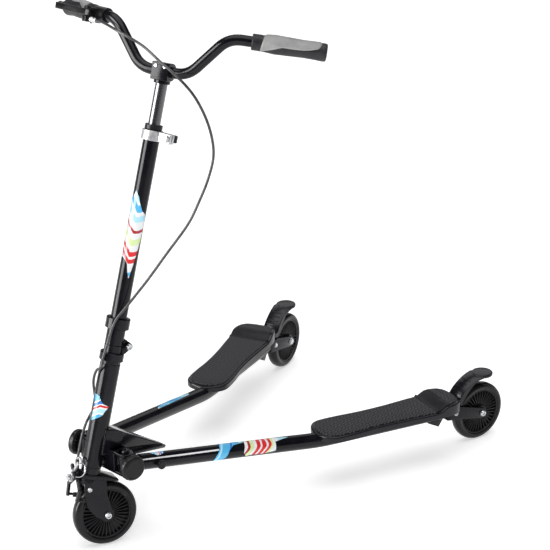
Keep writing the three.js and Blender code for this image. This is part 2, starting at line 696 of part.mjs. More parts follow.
function clampForm() {
  const { barOuter: sleeveOuter, half, socketOuter, socketDown, tubeDown, plateFront } = clamp;
  const sleeve = alongX(rod(sleeveOuter, 2 * half, roundSides)).translate(-half, 0, 0).rotateY(-barTilt);
  const socket = rod(socketOuter, socketDown, roundSides).translate(0, 0, -socketDown);
  const face = block(2 * half, plateFront, 2 * sleeveOuter).translate(0, -plateFront / 2, 0);
  face.rotateY(-barTilt);
  const barBore = alongX(rod(barOuter + gap, 4 * half, roundSides)).translate(-2 * half, 0, 0);
  barBore.rotateY(-barTilt);
  const tubeBore = rod(upperTubeOuter + gap, socketDown, roundSides);
  tubeBore.translate(0, 0, gap - tubeDown - socketDown);
  return cut(join(sleeve, socket, face), barBore, tubeBore);
}
part('bar_clamp', clampForm(), blackPaint, bar);

// Grips: rubber sleeves over the bar's ends, each with a grey palm pad; the right one has a narrow tail
const grip = {
  inner: 14.6, collarAt: 19, swell: 16.6, swellAt: 40, waist: 15, waistAt: 92, flare: 16.4, length: 134,
  shortWaistAt: 66, shortLength: 86, tail: 7, tailLong: 30, end: 3,
  padRise: 2.4, padDrop: 3,
};
const tubeReach = { left: grip.length - barShape.shortBy, right: grip.shortLength - grip.end };
function gripForm(name) {
  const { inner, collarAt, swell, swellAt, waist, waistAt, flare, length, end } = grip;
  const { shortWaistAt, shortLength, tail, tailLong } = grip;
  const bore = barOuter + gap;
  const depth = tubeReach[name] + gap;
  const body = [[bore, depth], [bore, 0], [inner, 0], [inner, collarAt], [swell, swellAt]];
  const far = name === 'left'
    ? [[waist, waistAt], [flare, length - end], [flare - end, length], [0, length]]
    : [[waist, shortWaistAt], [flare, shortLength - end], [tail, shortLength + end],
      [tail, shortLength + tailLong - end], [tail - end, shortLength + tailLong],
      [0, shortLength + tailLong]];
  return turned([[0, depth], ...body, ...far]);
}
function palmPad(name) {
  const { inner, collarAt, swell, swellAt, waist, waistAt, flare, length, end } = grip;
  const { shortWaistAt, shortLength, padRise, padDrop } = grip;
  const waistHere = name === 'left' ? waistAt : shortWaistAt;
  const flareHere = (name === 'left' ? length : shortLength) - end;
  const start = collarAt + gap;
  const outer = turned([
    [0, start], [inner + padRise, start], [swell + padRise, swellAt], [waist + padRise, waistHere],
    [flare + padRise / 2, flareHere - end], [0, flareHere - end],
  ]);
  const under = turned([
    [0, -overrun], [inner + gap, -overrun], [inner + gap, collarAt], [swell + gap, swellAt],
    [waist + gap, waistHere],
    [flare + gap, flareHere], [0, flareHere],
  ]);
  const lower = block(4 * swell, 4 * swell, 4 * length).translate(0, -2 * swell - padDrop, 0);
  return cut(outer, under, lower);
}
for (const [name, side] of [['left', 1], ['right', -1]]) {
  const run = new THREE.Vector3(side * endRun.x, endRun.y, endRun.z);
  const at = new THREE.Vector3(side * tubeEnd.x, tubeEnd.y, tubeEnd.z);
  at.addScaledVector(run, -tubeReach[name]);
  const sleeve = group(`grip_${name}`, tilted);
  sleeve.position.copy(at);
  const upward = new THREE.Vector3(0, 0, 1).addScaledVector(run, -run.z).normalize();
  const across = new THREE.Vector3().crossVectors(upward, run);
  sleeve.quaternion.setFromRotationMatrix(new THREE.Matrix4().makeBasis(across, upward, run));
  part(`grip_sleeve_${name}`, gripForm(name), darkRubber, sleeve);
  part(`palm_pad_${name}`, palmPad(name), greyRubber, sleeve);
}

// Brake lever: a housing clamped on the bar's right end, the lever on its pin and the cable's adjuster
const perch = {
  outer: 14, half: 18, lugHalf: 9, lugFront: 33, lugHigh: 9.5, lugLow: -17, pinFront: 27, pinRadius: 2.6,
  pinHead: 6, pinHeadThick: 2.5, bladeLength: 92, bladeHigh: 12, bladeThick: 5, bladeBow: 6, bladeRoot: 11,
  adjusterRadius: 4.2, adjusterLong: 16, nutRadius: 5.4, nutLong: 4, adjusterFront: 24, adjusterDown: -11.5,
};
const rightRun = new THREE.Vector3(-endRun.x, endRun.y, endRun.z);
const perchAt = new THREE.Vector3(-tubeEnd.x, tubeEnd.y, tubeEnd.z);
perchAt.addScaledVector(rightRun, -tubeReach.right - perch.half - gap);
const perchGroup = group('brake_perch', tilted);
perchGroup.position.copy(perchAt);
const frontward = new THREE.Vector3(0, -1, 0).addScaledVector(rightRun, rightRun.y).normalize();
const perchUp = new THREE.Vector3().crossVectors(rightRun, frontward);
perchGroup.quaternion.setFromRotationMatrix(new THREE.Matrix4().makeBasis(rightRun, frontward, perchUp));
const leverAside = perch.half - perch.lugHalf;
function perchForm() {
  const band = alongX(rod(perch.outer, 2 * perch.half, roundSides)).translate(-perch.half, 0, 0);
  const lug = block(2 * perch.lugHalf, perch.lugFront, perch.lugHigh - perch.lugLow);
  lug.translate(leverAside, perch.lugFront / 2, (perch.lugHigh + perch.lugLow) / 2);
  const slotFrom = perch.outer + gap;
  const slot = block(4 * perch.lugHalf, 2 * perch.lugFront, perch.bladeHigh + 2 * gap);
  slot.translate(leverAside, slotFrom + perch.lugFront, 0);
  const hole = rod(perch.pinRadius + gap, 4 * perch.lugFront);
  hole.translate(leverAside, perch.pinFront, -2 * perch.lugFront);
  const bore = alongX(rod(barOuter + gap, 4 * perch.half, roundSides)).translate(-2 * perch.half, 0, 0);
  const wire = alongX(rod(cableRadius / 2, 4 * perch.half, smallSides / 2));
  wire.translate(-2 * perch.half, perch.adjusterFront, perch.adjusterDown);
  return cut(join(band, lug), slot, hole, bore, wire);
}
part('brake_perch', perchForm(), blackPaint, perchGroup);
const pinLow = perch.bladeHigh / 2 + 2 * gap;
const leverPin = join(
  rod(perch.pinRadius, pinLow + perch.lugHigh + gap + perch.pinHeadThick).translate(0, 0, -pinLow),
  rod(perch.pinHead, perch.pinHeadThick).translate(0, 0, perch.lugHigh + gap),
);
part('lever_pin', leverPin.translate(leverAside, perch.pinFront, 0), brightSteel, perchGroup);

const brakeLever = group('brake_lever', perchGroup);
brakeLever.position.set(leverAside, perch.pinFront, 0);
function leverForm() {
  const { bladeLength, bladeThick, bladeBow, bladeRoot, bladeHigh, lugHalf, pinRadius } = perch;
  const half = bladeThick / 2;
  const outline = [
    [-lugHalf, half], [-lugHalf, -half], [0, -bladeRoot / 2], [lugHalf, -half],
    [bladeLength / 2, bladeBow - half], [bladeLength, bladeBow / 2],
    [bladeLength + half, bladeBow / 2 + half], [bladeLength, bladeBow / 2 + 2 * half],
    [bladeLength / 2, bladeBow + half], [lugHalf, half], [0, bladeRoot / 2],
  ];
  const blade = slab(outline, bladeHigh).translate(0, 0, -bladeHigh / 2);
  const hole = rod(pinRadius + gap, 4 * bladeHigh).translate(0, 0, -2 * bladeHigh);
  return cut(blade, hole);
}
part('brake_lever', leverForm(), blackPaint, brakeLever);
function adjusterForm() {
  const barrel = rod(perch.adjusterRadius, perch.adjusterLong);
  const nut = rod(perch.nutRadius, perch.nutLong, 6);
  const bore = rod(cableRadius / 2, 4 * perch.adjusterLong, smallSides / 2);
  bore.translate(0, 0, -perch.adjusterLong);
  return cut(join(barrel, nut), bore);
}
const adjusterStart = leverAside - perch.lugHalf - gap;
const adjuster = adjusterForm().rotateY(-Math.PI / 2);
adjuster.translate(adjusterStart, perch.adjusterFront, perch.adjusterDown);
part('cable_adjuster', adjuster, brightSteel, perchGroup);

// Brake cable: from the adjuster over the clamp, out in a loop and down the column to the caliper
scooter.updateMatrixWorld(true);
const toColumn = columnBase.matrixWorld.clone().invert();
const adjusterTip = adjusterStart - perch.adjusterLong - gap;
const adjusterEnd = new THREE.Vector3(adjusterTip, perch.adjusterFront, perch.adjusterDown);
const perchToColumn = toColumn.clone().multiply(perchGroup.matrixWorld);
const cableStart = adjusterEnd.clone().applyMatrix4(perchToColumn);
const cableLead = adjusterEnd.clone().setX(adjusterEnd.x - perch.adjusterLong).applyMatrix4(perchToColumn);
const barRun = [
  [-36, -81, 53], [-3, -49, 39], [30, -23, 18], [53, 0, 1], [70, 31, -25], [76, 60, -60], [76, 82, -98],
  [73, 93, -131], [70, 92, -175], [66, 85, -216], [58, 77, -257],
];
const foldRun = [
  [46, 49, 185], [36, 27, 133], [30, 8, 95], [25.7, -6.6, 67], [23.4, -12.4, 56], [20.5, -16.8, 39],
  [18, -19.5, 11], [16.2, -21, -8], [14.4, -22.2, -24], [13.8, -22.7, -42],
];
const headRun = [[4, -26], [-10, -22.5], [-20, -13], [-23.5, -4], [-20.8, -12], [-16.5, -19.3], [-15, -23]];
const headShares = [0.915, 0.785, 0.65, 0.5, 0.385, 0.295, 0.145];
const cableDepth = caliperLayers[0] + caliper.layerThick / 2;
const cableTop = caliper.topHigh + caliper.armWide / 2;
const cableEnd = new THREE.Vector3(caliper.topAside, cableDepth, cableTop + gap);
const cableLast = new THREE.Vector3(caliper.topAside, cableDepth, cableTop + perch.adjusterLong);
const cableShape = { steps: 80, sides: 8 };
function cableForm() {
  const raised = (run, high) => run.map(([aside, back, up]) => new THREE.Vector3(aside, back, high + up));
  const alongHead = headRun.map(([aside, back], i) => (
    new THREE.Vector3(aside, back, cableLast.z + (headHigh - cableLast.z) * headShares[i])));
  const places = [
    cableStart, cableLead, ...raised(barRun, barHeight), ...raised(foldRun, foldHeight), ...alongHead,
    cableLast, cableEnd,
  ];
  const path = new THREE.CatmullRomCurve3(places, false, 'centripetal');
  return pipe(path, cableRadius, 0, cableShape.steps, cableShape.sides);
}
part('brake_cable', cableForm(), housingBlack, columnBase);

// Arms: a knuckle on the pivot, a tube pushed over its spigot, a board, a wheel and a fender brake
const knuckle = {
  barrel: 15, spigot: armInner - 2 * gap, spigotEnd: 100, tubeStart: 26, bodyHalf: 14.5, bodyHigh: 26,
  knobBolt: 4, knobBoltLong: 9, knobStart: 18, knobRadius: 24, knobThick: 14.5, knobDome: 3,
};
const lock = { back: 62, pinRadius: 3, knobRadius: 8.7, knobLong: 7, neckRadius: 6, neckLong: 4, reach: 9 };
const armSlope = Math.atan2(armPivotHigh - bendHigh, bendBack);
const armHighAt = (back) => armPivotHigh - Math.tan(armSlope) * back;
const slopedFrame = new THREE.Matrix4().makeTranslation(armAside, 0, armPivotHigh);
slopedFrame.multiply(new THREE.Matrix4().makeRotationX(-armSlope));
function lockHole() {
  const hole = alongX(rod(lock.pinRadius + gap, 2 * armOuter));
  return hole.translate(armAside + armOuter - lock.reach - gap, lock.back, armHighAt(lock.back));
}

function knuckleForm() {
  const barrel = rod(knuckle.barrel, knuckleHigh, roundSides).translate(0, 0, knuckleLow);
  const body = block(2 * knuckle.bodyHalf, knuckle.tubeStart, knuckle.bodyHigh);
  body.translate(0, knuckle.tubeStart / 2, 0).applyMatrix4(slopedFrame);
  const spigot = alongY(rod(knuckle.spigot, knuckle.spigotEnd, roundSides)).applyMatrix4(slopedFrame);
  const pinHole = rod(bracket.pinRadius + runningGap, 4 * knuckleHigh);
  pinHole.translate(0, 0, knuckleLow - knuckleHigh);
  const lowTrim = block(4 * knuckle.spigotEnd, 2 * bracket.earRound + 2 * runningGap, knuckleHigh);
  lowTrim.translate(0, 0, knuckleLow - knuckleHigh / 2);
  const highTrim = lowTrim.clone().translate(0, 0, 2 * knuckleHigh);
  const boltHole = alongX(rod(knuckle.knobBolt + gap, 2 * knuckle.knobStart)).translate(0, 0, armPivotHigh);
  const knobRoom = alongX(rod(knuckle.knobRadius + runningGap, 4 * knuckle.knobThick, roundSides));
  knobRoom.translate(knuckle.knobStart - runningGap, 0, armPivotHigh);
  return cut(join(barrel, body, spigot), pinHole, lowTrim, highTrim, boltHole, lockHole(), knobRoom);
}

function armRoute() {
  const start = new THREE.Vector3(armAside, knuckle.tubeStart + gap, armHighAt(knuckle.tubeStart + gap));
  const bend = new THREE.Vector3(armAside, bendBack, bendHigh);
  const end = new THREE.Vector3(bridgeAside, bridgeBack, bridgeHigh);
  return roundedRoute([start, bend, end], 2 * armOuter, 2);
}
function armTubeSolid(radius, inner) {
  return pipe(armRoute(), radius, inner, armRoute().last, tubeSides);
}

// Rear bracket: a bridge and two plates that carry the wheel and the fender brake
const rear = {
  bridgeThick: 8, bridgeHalf: 19, bridgeHigh: 24, plateTop: 93, plateLow: 70, pinBack: 758,
  pinHigh: 81, pinRadius: 3, pinHead: 4.6, pinHeadThick: 3.5, bossRadius: 11, bossFrom: -100 * degree,
  bossTo: 80 * degree, bossSteps: 8, gussetBack: 728, gussetLow: 52, gussetThick: 10, gussetFront: 700,
};
function armForm(side) {
  const pipePart = armTubeSolid(armOuter, armInner);
  const bridge = block(2 * rear.bridgeHalf, rear.bridgeThick, rear.bridgeHigh);
  bridge.translate(rearAxleAside, bridgeBack + rear.bridgeThick / 2, bridgeHigh);
  const outline = [
    [bridgeBack, rear.plateLow],
    ...arc([rearAxleBack, wheelRadius], rear.bossRadius, rear.bossFrom, rear.bossTo, rear.bossSteps),
    [rear.pinBack + rear.bossRadius, rear.plateTop], [bridgeBack, rear.plateTop],
  ];
  const aside = axle.plateInner + axle.plateThick / 2;
  const plates = [-1, 1].map((hand) => (
    sideSlab(outline, axle.plateThick).translate(rearAxleAside + hand * aside, 0, 0)));
  const gusset = sideSlab([
    [rear.gussetFront, bridgeHigh - armOuter], [rear.gussetBack, rear.gussetLow],
    [bridgeBack + rear.bridgeThick / 2, rear.plateLow], [bridgeBack + rear.bridgeThick / 2, bridgeHigh],
    [rear.gussetFront, bridgeHigh],
  ], rear.gussetThick).translate(bridgeAside, 0, 0);
  const keepOpen = armTubeSolid(armInner, 0);
  const across = 4 * rear.bridgeHalf;
  const axleHole = alongX(rod(forkHole, across));
  axleHole.translate(rearAxleAside - across / 2, rearAxleBack, wheelRadius);
  const pinHole = alongX(rod(rear.pinRadius + gap, across));
  pinHole.translate(rearAxleAside - across / 2, rear.pinBack, rear.pinHigh);
  const whole = cut(join(pipePart, bridge, ...plates, gusset), axleHole, pinHole, lockHole());
  return handed(cut(whole, keepOpen), side);
}

function handed(geometry, side) {
  return side > 0 ? geometry : geometry.scale(-1, 1, 1);
}

// Knob on the arm's clamp bolt
function knobForm() {
  const { knobRadius, knobThick, knobDome, knobBolt, knobBoltLong } = knuckle;
  const profile = [
    [0, knobThick], [knobRadius - 2 * knobDome, knobThick],
    [knobRadius - knobDome / 2, knobThick - knobDome],
    [knobRadius, knobThick - 2 * knobDome], [knobRadius, knobDome], [knobRadius - knobDome, 0],
    [knobBolt, 0], [knobBolt, -knobBoltLong], [0, -knobBoltLong],
  ];
  return alongX(turned(profile));
}

// Pull pin that locks the arm tube on its spigot
function lockForm() {
  const pin = rod(lock.pinRadius, lock.reach + lock.neckLong).translate(0, 0, -lock.neckLong);
  const neckPart = rod(lock.neckRadius, lock.neckLong - gap).translate(0, 0, -lock.neckLong);
  const knobPart = rod(lock.knobRadius, lock.knobLong).translate(0, 0, -lock.neckLong - lock.knobLong);
  return join(pin, neckPart, knobPart);
}

// Footboard: a sole-shaped tray with a raised heel, a keel that rests on the tube, and a grip pad on top
const board = {
  noseAside: 3.6, skirt: 12, rise: 11, riseStart: 262, riseEnd: 286, riseShare: 0.45, kickEnd: 316, tail: 5,
  rim: 6, padThick: 2, topRound: 3, tubeGap: 0.5, keelHalf: 9, keelStart: 30, keelEnd: 270, curveSteps: 2,
};
const boardHalves = [
  [0, 0], [22, 4], [35, 12], [43, 24], [45.5, 40], [45, 72], [42, 112], [41.5, 150], [43, 190], [46, 228],
  [48, 264], [46.5, 292], [41, 311], [30, 323], [15, 328.6],
];
const boardHalf = 48;
function boardPlan(inset) {
  const narrow = (half) => half * (1 - inset / boardHalf);
  const along = (back) => inset + back * (1 - (2 * inset) / boardLength);
  const outer = boardHalves.map(([half, back]) => new THREE.Vector2(narrow(half), along(back)));
  const inner = outer.slice(1).reverse().map((point) => new THREE.Vector2(-point.x, point.y));
  const shape = new THREE.Shape();
  shape.moveTo(outer[0].x, outer[0].y);
  shape.splineThru([...outer.slice(1), new THREE.Vector2(0, along(boardLength)), ...inner, outer[0]]);
  const depth = 4 * boardHalf;
  const settings = { depth, bevelEnabled: false, curveSegments: board.curveSteps };
  return new THREE.ExtrudeGeometry(shape, settings).translate(0, 0, -depth / 2);
}
function boardSide(lift, thick) {
  const { rise, riseStart, riseEnd, riseShare, kickEnd, tail, topRound, skirt } = board;
  const line = [
    [-overrun, -topRound], [topRound, 0], [riseStart, 0],
    [(riseStart + riseEnd) / 2, rise * riseShare], [riseEnd, rise], [kickEnd, rise],
    [boardLength - tail / 2, rise - tail], [boardLength + overrun, rise - 2 * tail],
  ];
  const upper = line.map(([back, high]) => [back, high + lift]);
  const lower = thick > 0
    ? upper.slice().reverse().map(([back, high]) => [back, high - thick])
    : [[boardLength + overrun, -skirt], [-overrun, -skirt]];
  return sideSlab([...upper, ...lower], 4 * boardHalf);
}
const boardFrame = new THREE.Matrix4().makeTranslation(board.noseAside, boardFront, boardHigh);
boardFrame.multiply(new THREE.Matrix4().makeRotationZ(-boardTurn));
const tubeTurn = Math.atan2(bridgeAside - armAside, bridgeBack - bendBack);
const tubeFrame = new THREE.Matrix4().makeTranslation(armAside, bendBack, boardHigh - board.skirt);
tubeFrame.multiply(new THREE.Matrix4().makeRotationZ(-tubeTurn));
function footboard(side) {
  const tray = common(boardPlan(0), boardSide(0, 0)).applyMatrix4(boardFrame);
  const keel = block(2 * board.keelHalf, board.keelEnd - board.keelStart, overrun + armOuter);
  keel.translate(0, (board.keelEnd + board.keelStart) / 2, (overrun - armOuter) / 2);
  const whole = join(tray, keel.applyMatrix4(tubeFrame));
  return handed(cut(whole, armTubeSolid(armOuter + board.tubeGap, 0)), side);
}
function gripPad(side) {
  const lift = board.padThick + gap;
  const pad = common(boardPlan(board.rim), boardSide(lift, board.padThick));
  return handed(pad.applyMatrix4(boardFrame), side);
}

// Fender brake: a curved pedal on a cross pin, held off the tyre by its spring
const fender = {
  half: 14, wideHalf: 19, wideFrom: 2, boss: 8, innerFront: 70, innerTip: 78, thick: 7, from: 164 * degree,
  to: 92 * degree, steps: 9, tipRadius: 22, tipThick: 7,
};
function fenderBand(first, half) {
  const centre = [rearAxleBack, wheelRadius];
  const inner = [];
  const outer = [];
  for (let i = first; i <= fender.steps; i += 1) {
    const share = i / fender.steps;
    const angle = fender.from + (fender.to - fender.from) * share;
    const radius = fender.innerFront + (fender.innerTip - fender.innerFront) * share;
    const spot = (length) => [centre[0] + length * Math.cos(angle), centre[1] + length * Math.sin(angle)];
    inner.push(spot(radius));
    outer.push(spot(radius + fender.thick));
  }
  return sideSlab([...inner, ...outer.reverse()], 2 * half);
}
function fenderForm(side) {
  const { half, wideHalf, wideFrom, boss: bossRadius, tipRadius, tipThick, innerTip } = fender;
  const boss = alongX(rod(bossRadius, 2 * half)).translate(-half, rear.pinBack, rear.pinHigh);
  const tip = rod(tipRadius, tipThick, roundSides);
  tip.translate(0, rearAxleBack + tipRadius / 2, wheelRadius + innerTip);
  const hole = alongX(rod(rear.pinRadius + gap, 4 * half)).translate(-2 * half, rear.pinBack, rear.pinHigh);
  const whole = cut(join(fenderBand(0, half), fenderBand(wideFrom, wideHalf), boss, tip), hole);
  return handed(whole.translate(0, -rear.pinBack, -rear.pinHigh), side);
}
function fenderPin() {
  const reach = axle.plateInner + axle.plateThick + gap;
  const shaft = rod(rear.pinRadius, 2 * reach + rear.pinHeadThick).translate(0, 0, -reach);
  const head = rod(rear.pinHead, rear.pinHeadThick).translate(0, 0, reach);
  const nut = rod(rear.pinHead, rear.pinHeadThick, 6).translate(0, 0, -reach - rear.pinHeadThick);
  return alongX(join(shaft, head, nut)).translate(rearAxleAside, rear.pinBack, rear.pinHigh);
}

for (const [name, side, out] of [['left', 1, leftArmOut], ['right', -1, rightArmOut]]) {
  const bolt = pivotPin().translate(side * armPivotAside, armPivotBack, 0);
  part(`arm_pivot_bolt_${name}`, bolt, blackPaint, scooter);
  const arm = group(`arm_${name}`, scooter);
  arm.position.set(side * armPivotAside, armPivotBack, 0);
  arm.rotation.z = -side * out;
  part(`arm_knuckle_${name}`, handed(knuckleForm(), side), blackPaint, arm);
  part(`arm_tube_${name}`, armForm(side), blackPaint, arm);
  part(`footboard_${name}`, footboard(side), blackPlastic, arm);
  part(`foot_grip_${name}`, gripPad(side), darkRubber, arm);
  const rearAxle = axleBolt(axleReach).translate(side * rearAxleAside, rearAxleBack, wheelRadius);
  part(`rear_axle_${name}`, rearAxle, brightSteel, arm);
  part(`fender_pin_${name}`, handed(fenderPin(), side), brightSteel, arm);

  const knob = group(`knob_${name}`, arm);
  knob.position.set(side * knuckle.knobStart, 0, armPivotHigh);
  part(`arm_knob_${name}`, handed(knobForm(), side), blackPlastic, knob);

  const pull = group(`lock_${name}`, arm);
  pull.position.set(side * (armAside + armOuter), lock.back, armHighAt(lock.back));
  pull.rotation.y = (-side * Math.PI) / 2;
  part(`lock_pin_${name}`, lockForm(), blackPlastic, pull);

  const rearWheel = group(`wheel_${name}`, arm);
  rearWheel.position.set(side * rearAxleAside, rearAxleBack, wheelRadius);
  wheel(`rear_${name}`, rearWheel);

  const pedal = group(`fender_${name}`, arm);
  pedal.position.set(side * rearAxleAside, rear.pinBack, rear.pinHigh);
  part(`fender_brake_${name}`, fenderForm(side), blackPlastic, pedal);
}

// The origin is the middle of the footprint, on the floor
const reachBox = new THREE.Box3().setFromObject(assembly, true);
const middle = reachBox.getCenter(new THREE.Vector3());
scooter.position.set(-middle.x, -middle.y, -reachBox.min.z);

export default assembly;
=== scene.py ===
import json
import math

import bmesh
import bpy
from mathutils import Matrix, Vector


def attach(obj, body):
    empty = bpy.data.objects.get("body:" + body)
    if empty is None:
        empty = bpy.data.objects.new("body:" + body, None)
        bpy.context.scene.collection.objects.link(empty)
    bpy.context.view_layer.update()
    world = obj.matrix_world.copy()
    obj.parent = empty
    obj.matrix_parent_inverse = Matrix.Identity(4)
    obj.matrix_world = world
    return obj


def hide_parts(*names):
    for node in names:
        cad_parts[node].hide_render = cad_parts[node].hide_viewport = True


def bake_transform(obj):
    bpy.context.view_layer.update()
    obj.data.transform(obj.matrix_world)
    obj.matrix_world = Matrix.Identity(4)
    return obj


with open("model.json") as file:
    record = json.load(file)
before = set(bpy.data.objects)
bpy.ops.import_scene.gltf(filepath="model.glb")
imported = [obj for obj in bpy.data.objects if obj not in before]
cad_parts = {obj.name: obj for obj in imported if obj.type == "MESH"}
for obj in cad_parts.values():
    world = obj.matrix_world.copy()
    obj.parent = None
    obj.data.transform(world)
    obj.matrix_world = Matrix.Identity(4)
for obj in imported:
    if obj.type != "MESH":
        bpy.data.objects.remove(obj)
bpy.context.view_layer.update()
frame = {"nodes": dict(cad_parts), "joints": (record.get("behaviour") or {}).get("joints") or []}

scene = bpy.context.scene

# Where the scooter stands. Its own frame is in millimetres, with the origin on the floor below the point where the
# steering axis is at axle height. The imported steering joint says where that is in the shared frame.
degree = math.pi / 180
steering_joint = next(joint for joint in frame["joints"] if joint["name"] == "steering")
joint_in_scooter = Vector((0, 54.12, 255.04))
scooter = Matrix.Translation(Vector(steering_joint["pos_m"]) * 1000 - joint_in_scooter)


def turned_by(angle, axis):
    return Matrix.Rotation(angle * degree, 4, axis)


def moved(x, y, z):
    return Matrix.Translation((x, y, z))


# The camera stands in front of the near side with a long lens, about 21 degrees above the floor, and looks at the
# middle of the scooter.
eye = bpy.data.objects.new("camera", bpy.data.cameras.new("camera"))
eye_place = scooter @ Vector((2447, -1940, 1773))
eye_aim = scooter @ Vector((159, 350, 494))
eye.location = eye_place / 1000
eye.rotation_euler = (eye_aim - eye_place).to_track_quat("-Z", "Y").to_euler()
eye.data.lens = 123.3
eye.data.sensor_width = 36
scene.collection.objects.link(eye)
scene.camera = eye


# Tyres: cast polyurethane, smooth and rounded over the tread, pressed on the rim of the hub. All three are alike.
# The helpers that shape, join, fit and finish every later piece are met here first.
def corner_curve(before, corner, after, reach, steps, most=1.0):
    into, out = before - corner, after - corner
    enter = corner + into.normalized() * min(reach, into.length * most)
    leave = corner + out.normalized() * min(reach, out.length * most)
    shares = [step / steps for step in range(steps + 1)]
    return [enter.lerp(corner, share).lerp(corner.lerp(leave, share), share) for share in shares]


def softened(outline, reach):
    points = [outline[0]]
    for corners in zip(outline, outline[1:], outline[2:]):
        points += [tuple(point) for point in corner_curve(*(Vector(corner) for corner in corners), reach, 3, 0.45)]
    return points + [outline[-1]]


def spun(outline, steps=64, reach=0.0):
    bm = bmesh.new()
    points = softened(outline, reach) if reach else outline
    corners = [bm.verts.new((radius, 0, height)) for radius, height in points]
    edges = [bm.edges.new(pair) for pair in zip(corners, corners[1:])]
    bmesh.ops.spin(bm, geom=corners + edges, cent=(0, 0, 0), axis=(0, 0, 1), angle=2 * math.pi, steps=steps,
                   use_merge=True)
    return bm


def lay_in(piece, part, place=Matrix()):
    bmesh.ops.remove_doubles(part, verts=part.verts, dist=0.001)
    bmesh.ops.recalc_face_normals(part, faces=part.faces)
    part.transform(place)
    if place.determinant() < 0:
        bmesh.ops.reverse_faces(part, faces=part.faces)
    loose = bpy.data.meshes.new("part")
    part.to_mesh(loose)
    part.free()
    piece.from_mesh(loose)
    bpy.data.meshes.remove(loose)


def joined(*parts):
    piece = bmesh.new()
    for part, place in parts:
        lay_in(piece, part, place)
    return piece


def finished(piece, name, finish, crease=35):
    piece.transform(Matrix.Scale(0.001, 4))
    mesh = bpy.data.meshes.new(name)
    piece.to_mesh(mesh)
    piece.free()
    mesh.materials.append(finish)
    mesh.polygons.foreach_set("use_smooth", [True] * len(mesh.polygons))
    mesh.set_sharp_from_angle(angle=crease * degree)
    made = bpy.data.objects.new(name, mesh)
    scene.collection.objects.link(made)
    return made


def fitted(piece, name, finish, slot, body, *nodes, crease=35):
    made = finished(piece, name, finish, crease)
    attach(made, body)
    if nodes:
        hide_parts(*nodes)


def noise_in(tree, scale, detail):
    place = tree.nodes.new("ShaderNodeTexCoord")
    noise = tree.nodes.new("ShaderNodeTexNoise")
    noise.inputs["Scale"].default_value = scale
    noise.inputs["Detail"].default_value = detail
    tree.links.new(place.outputs["Object"], noise.inputs["Vector"])
    return noise.outputs["Fac"]


def gloss_in(tree, clouds, smooth, rough):
    gloss = tree.nodes.new("ShaderNodeMapRange")
    gloss.inputs["To Min"].default_value = smooth
    gloss.inputs["To Max"].default_value = rough
    tree.links.new(clouds, gloss.inputs["Value"])
    tree.links.new(gloss.outputs["Result"], tree.nodes["Principled BSDF"].inputs["Roughness"])


def finish_of(name, deep, light, patch, grain, relief, roughness, metallic=0.0, shine=0.5, spread=0.05):
    made = bpy.data.materials.new(name)
    made.use_nodes = True
    tree = made.node_tree
    shader = tree.nodes["Principled BSDF"]
    clouds = noise_in(tree, patch, 4)
    tint = tree.nodes.new("ShaderNodeValToRGB")
    for element, position, colour in zip(tint.color_ramp.elements, (0.35, 0.65), (deep, light)):
        element.position = position
        element.color = (*colour, 1)
    tree.links.new(clouds, tint.inputs["Fac"])
    tree.links.new(tint.outputs["Color"], shader.inputs["Base Color"])
    gloss_in(tree, clouds, max(roughness - spread, 0.02), roughness + spread)
    bump = tree.nodes.new("ShaderNodeBump")
    bump.inputs["Strength"].default_value = relief
    bump.inputs["Distance"].default_value = 0.0003
    tree.links.new(noise_in(tree, grain, 2), bump.inputs["Height"])
    tree.links.new(bump.outputs["Normal"], shader.inputs["Normal"])
    shader.inputs["Metallic"].default_value = metallic
    shader.inputs["Specular IOR Level"].default_value = shine
    return made


tyre_finish = finish_of("tyre_polyurethane", (0.006, 0.006, 0.0065), (0.011, 0.011, 0.012), 60, 900, 0.08, 0.24,
                        shine=0.22)
wheel_radius = 62.5
wheel_steps = 96


def both_sides(half):
    return half + [(radius, -height) for radius, height in reversed(half)] + [half[0]]


def tyre_shape():
    half = [(48.9, 10.4), (50.4, 11.2), (52.5, 11.7), (54.8, 11.7), (57.3, 11), (59.4, 9.6), (61, 7.4), (61.9, 4.2),
            (62.2, 1.5)]
    return spun(both_sides(half), wheel_steps)


# Hubs: moulded black nylon discs with a raised rim, a plain barrel and thin radial ribs on both sides of a web.
# The rim carries the tyre, and the barrel holds two ball bearings and their spacer.
hub_finish = finish_of("hub_nylon", (0.007, 0.007, 0.0075), (0.013, 0.013, 0.014), 45, 700, 0.12, 0.3, shine=0.22)
hub_ribs = 34


def sharp_edges(bm, least):
    return [edge for edge in bm.edges if len(edge.link_faces) == 2 and edge.calc_face_angle(0) > least]


def bevelled(bm, edges, reach, segments):
    bmesh.ops.bevel(bm, geom=edges, offset=reach, segments=segments, profile=0.5, affect="EDGES", material=-1)
    return bm


def block(wide, deep, high, reach=1.0, segments=3):
    bm = bmesh.new()
    bmesh.ops.create_cube(bm, size=1)
    bmesh.ops.scale(bm, vec=(wide, deep, high), verts=bm.verts)
    return bevelled(bm, bm.edges[:], reach, segments)


def ribs_around(piece, count, size, place, out, up=0.0):
    for i in range(count):
        lay_in(piece, block(*size), place @ turned_by(i * 360 / count, "Z") @ moved(out, 0, up))


def hub_shape():
    piece = bmesh.new()
    half = [(11.3, 15.3), (13.6, 15.3), (14, 14.9), (14.3, 9), (15, 3.2), (44.8, 3.2), (45.4, 9.6), (46, 10.4),
            (48, 10.4), (48.5, 10)]
    lay_in(piece, spun(both_sides(half), wheel_steps))
    ribs_around(piece, hub_ribs, (31.6, 1.9, 18.8, 0.5, 2), Matrix(), 29.7)
    return piece


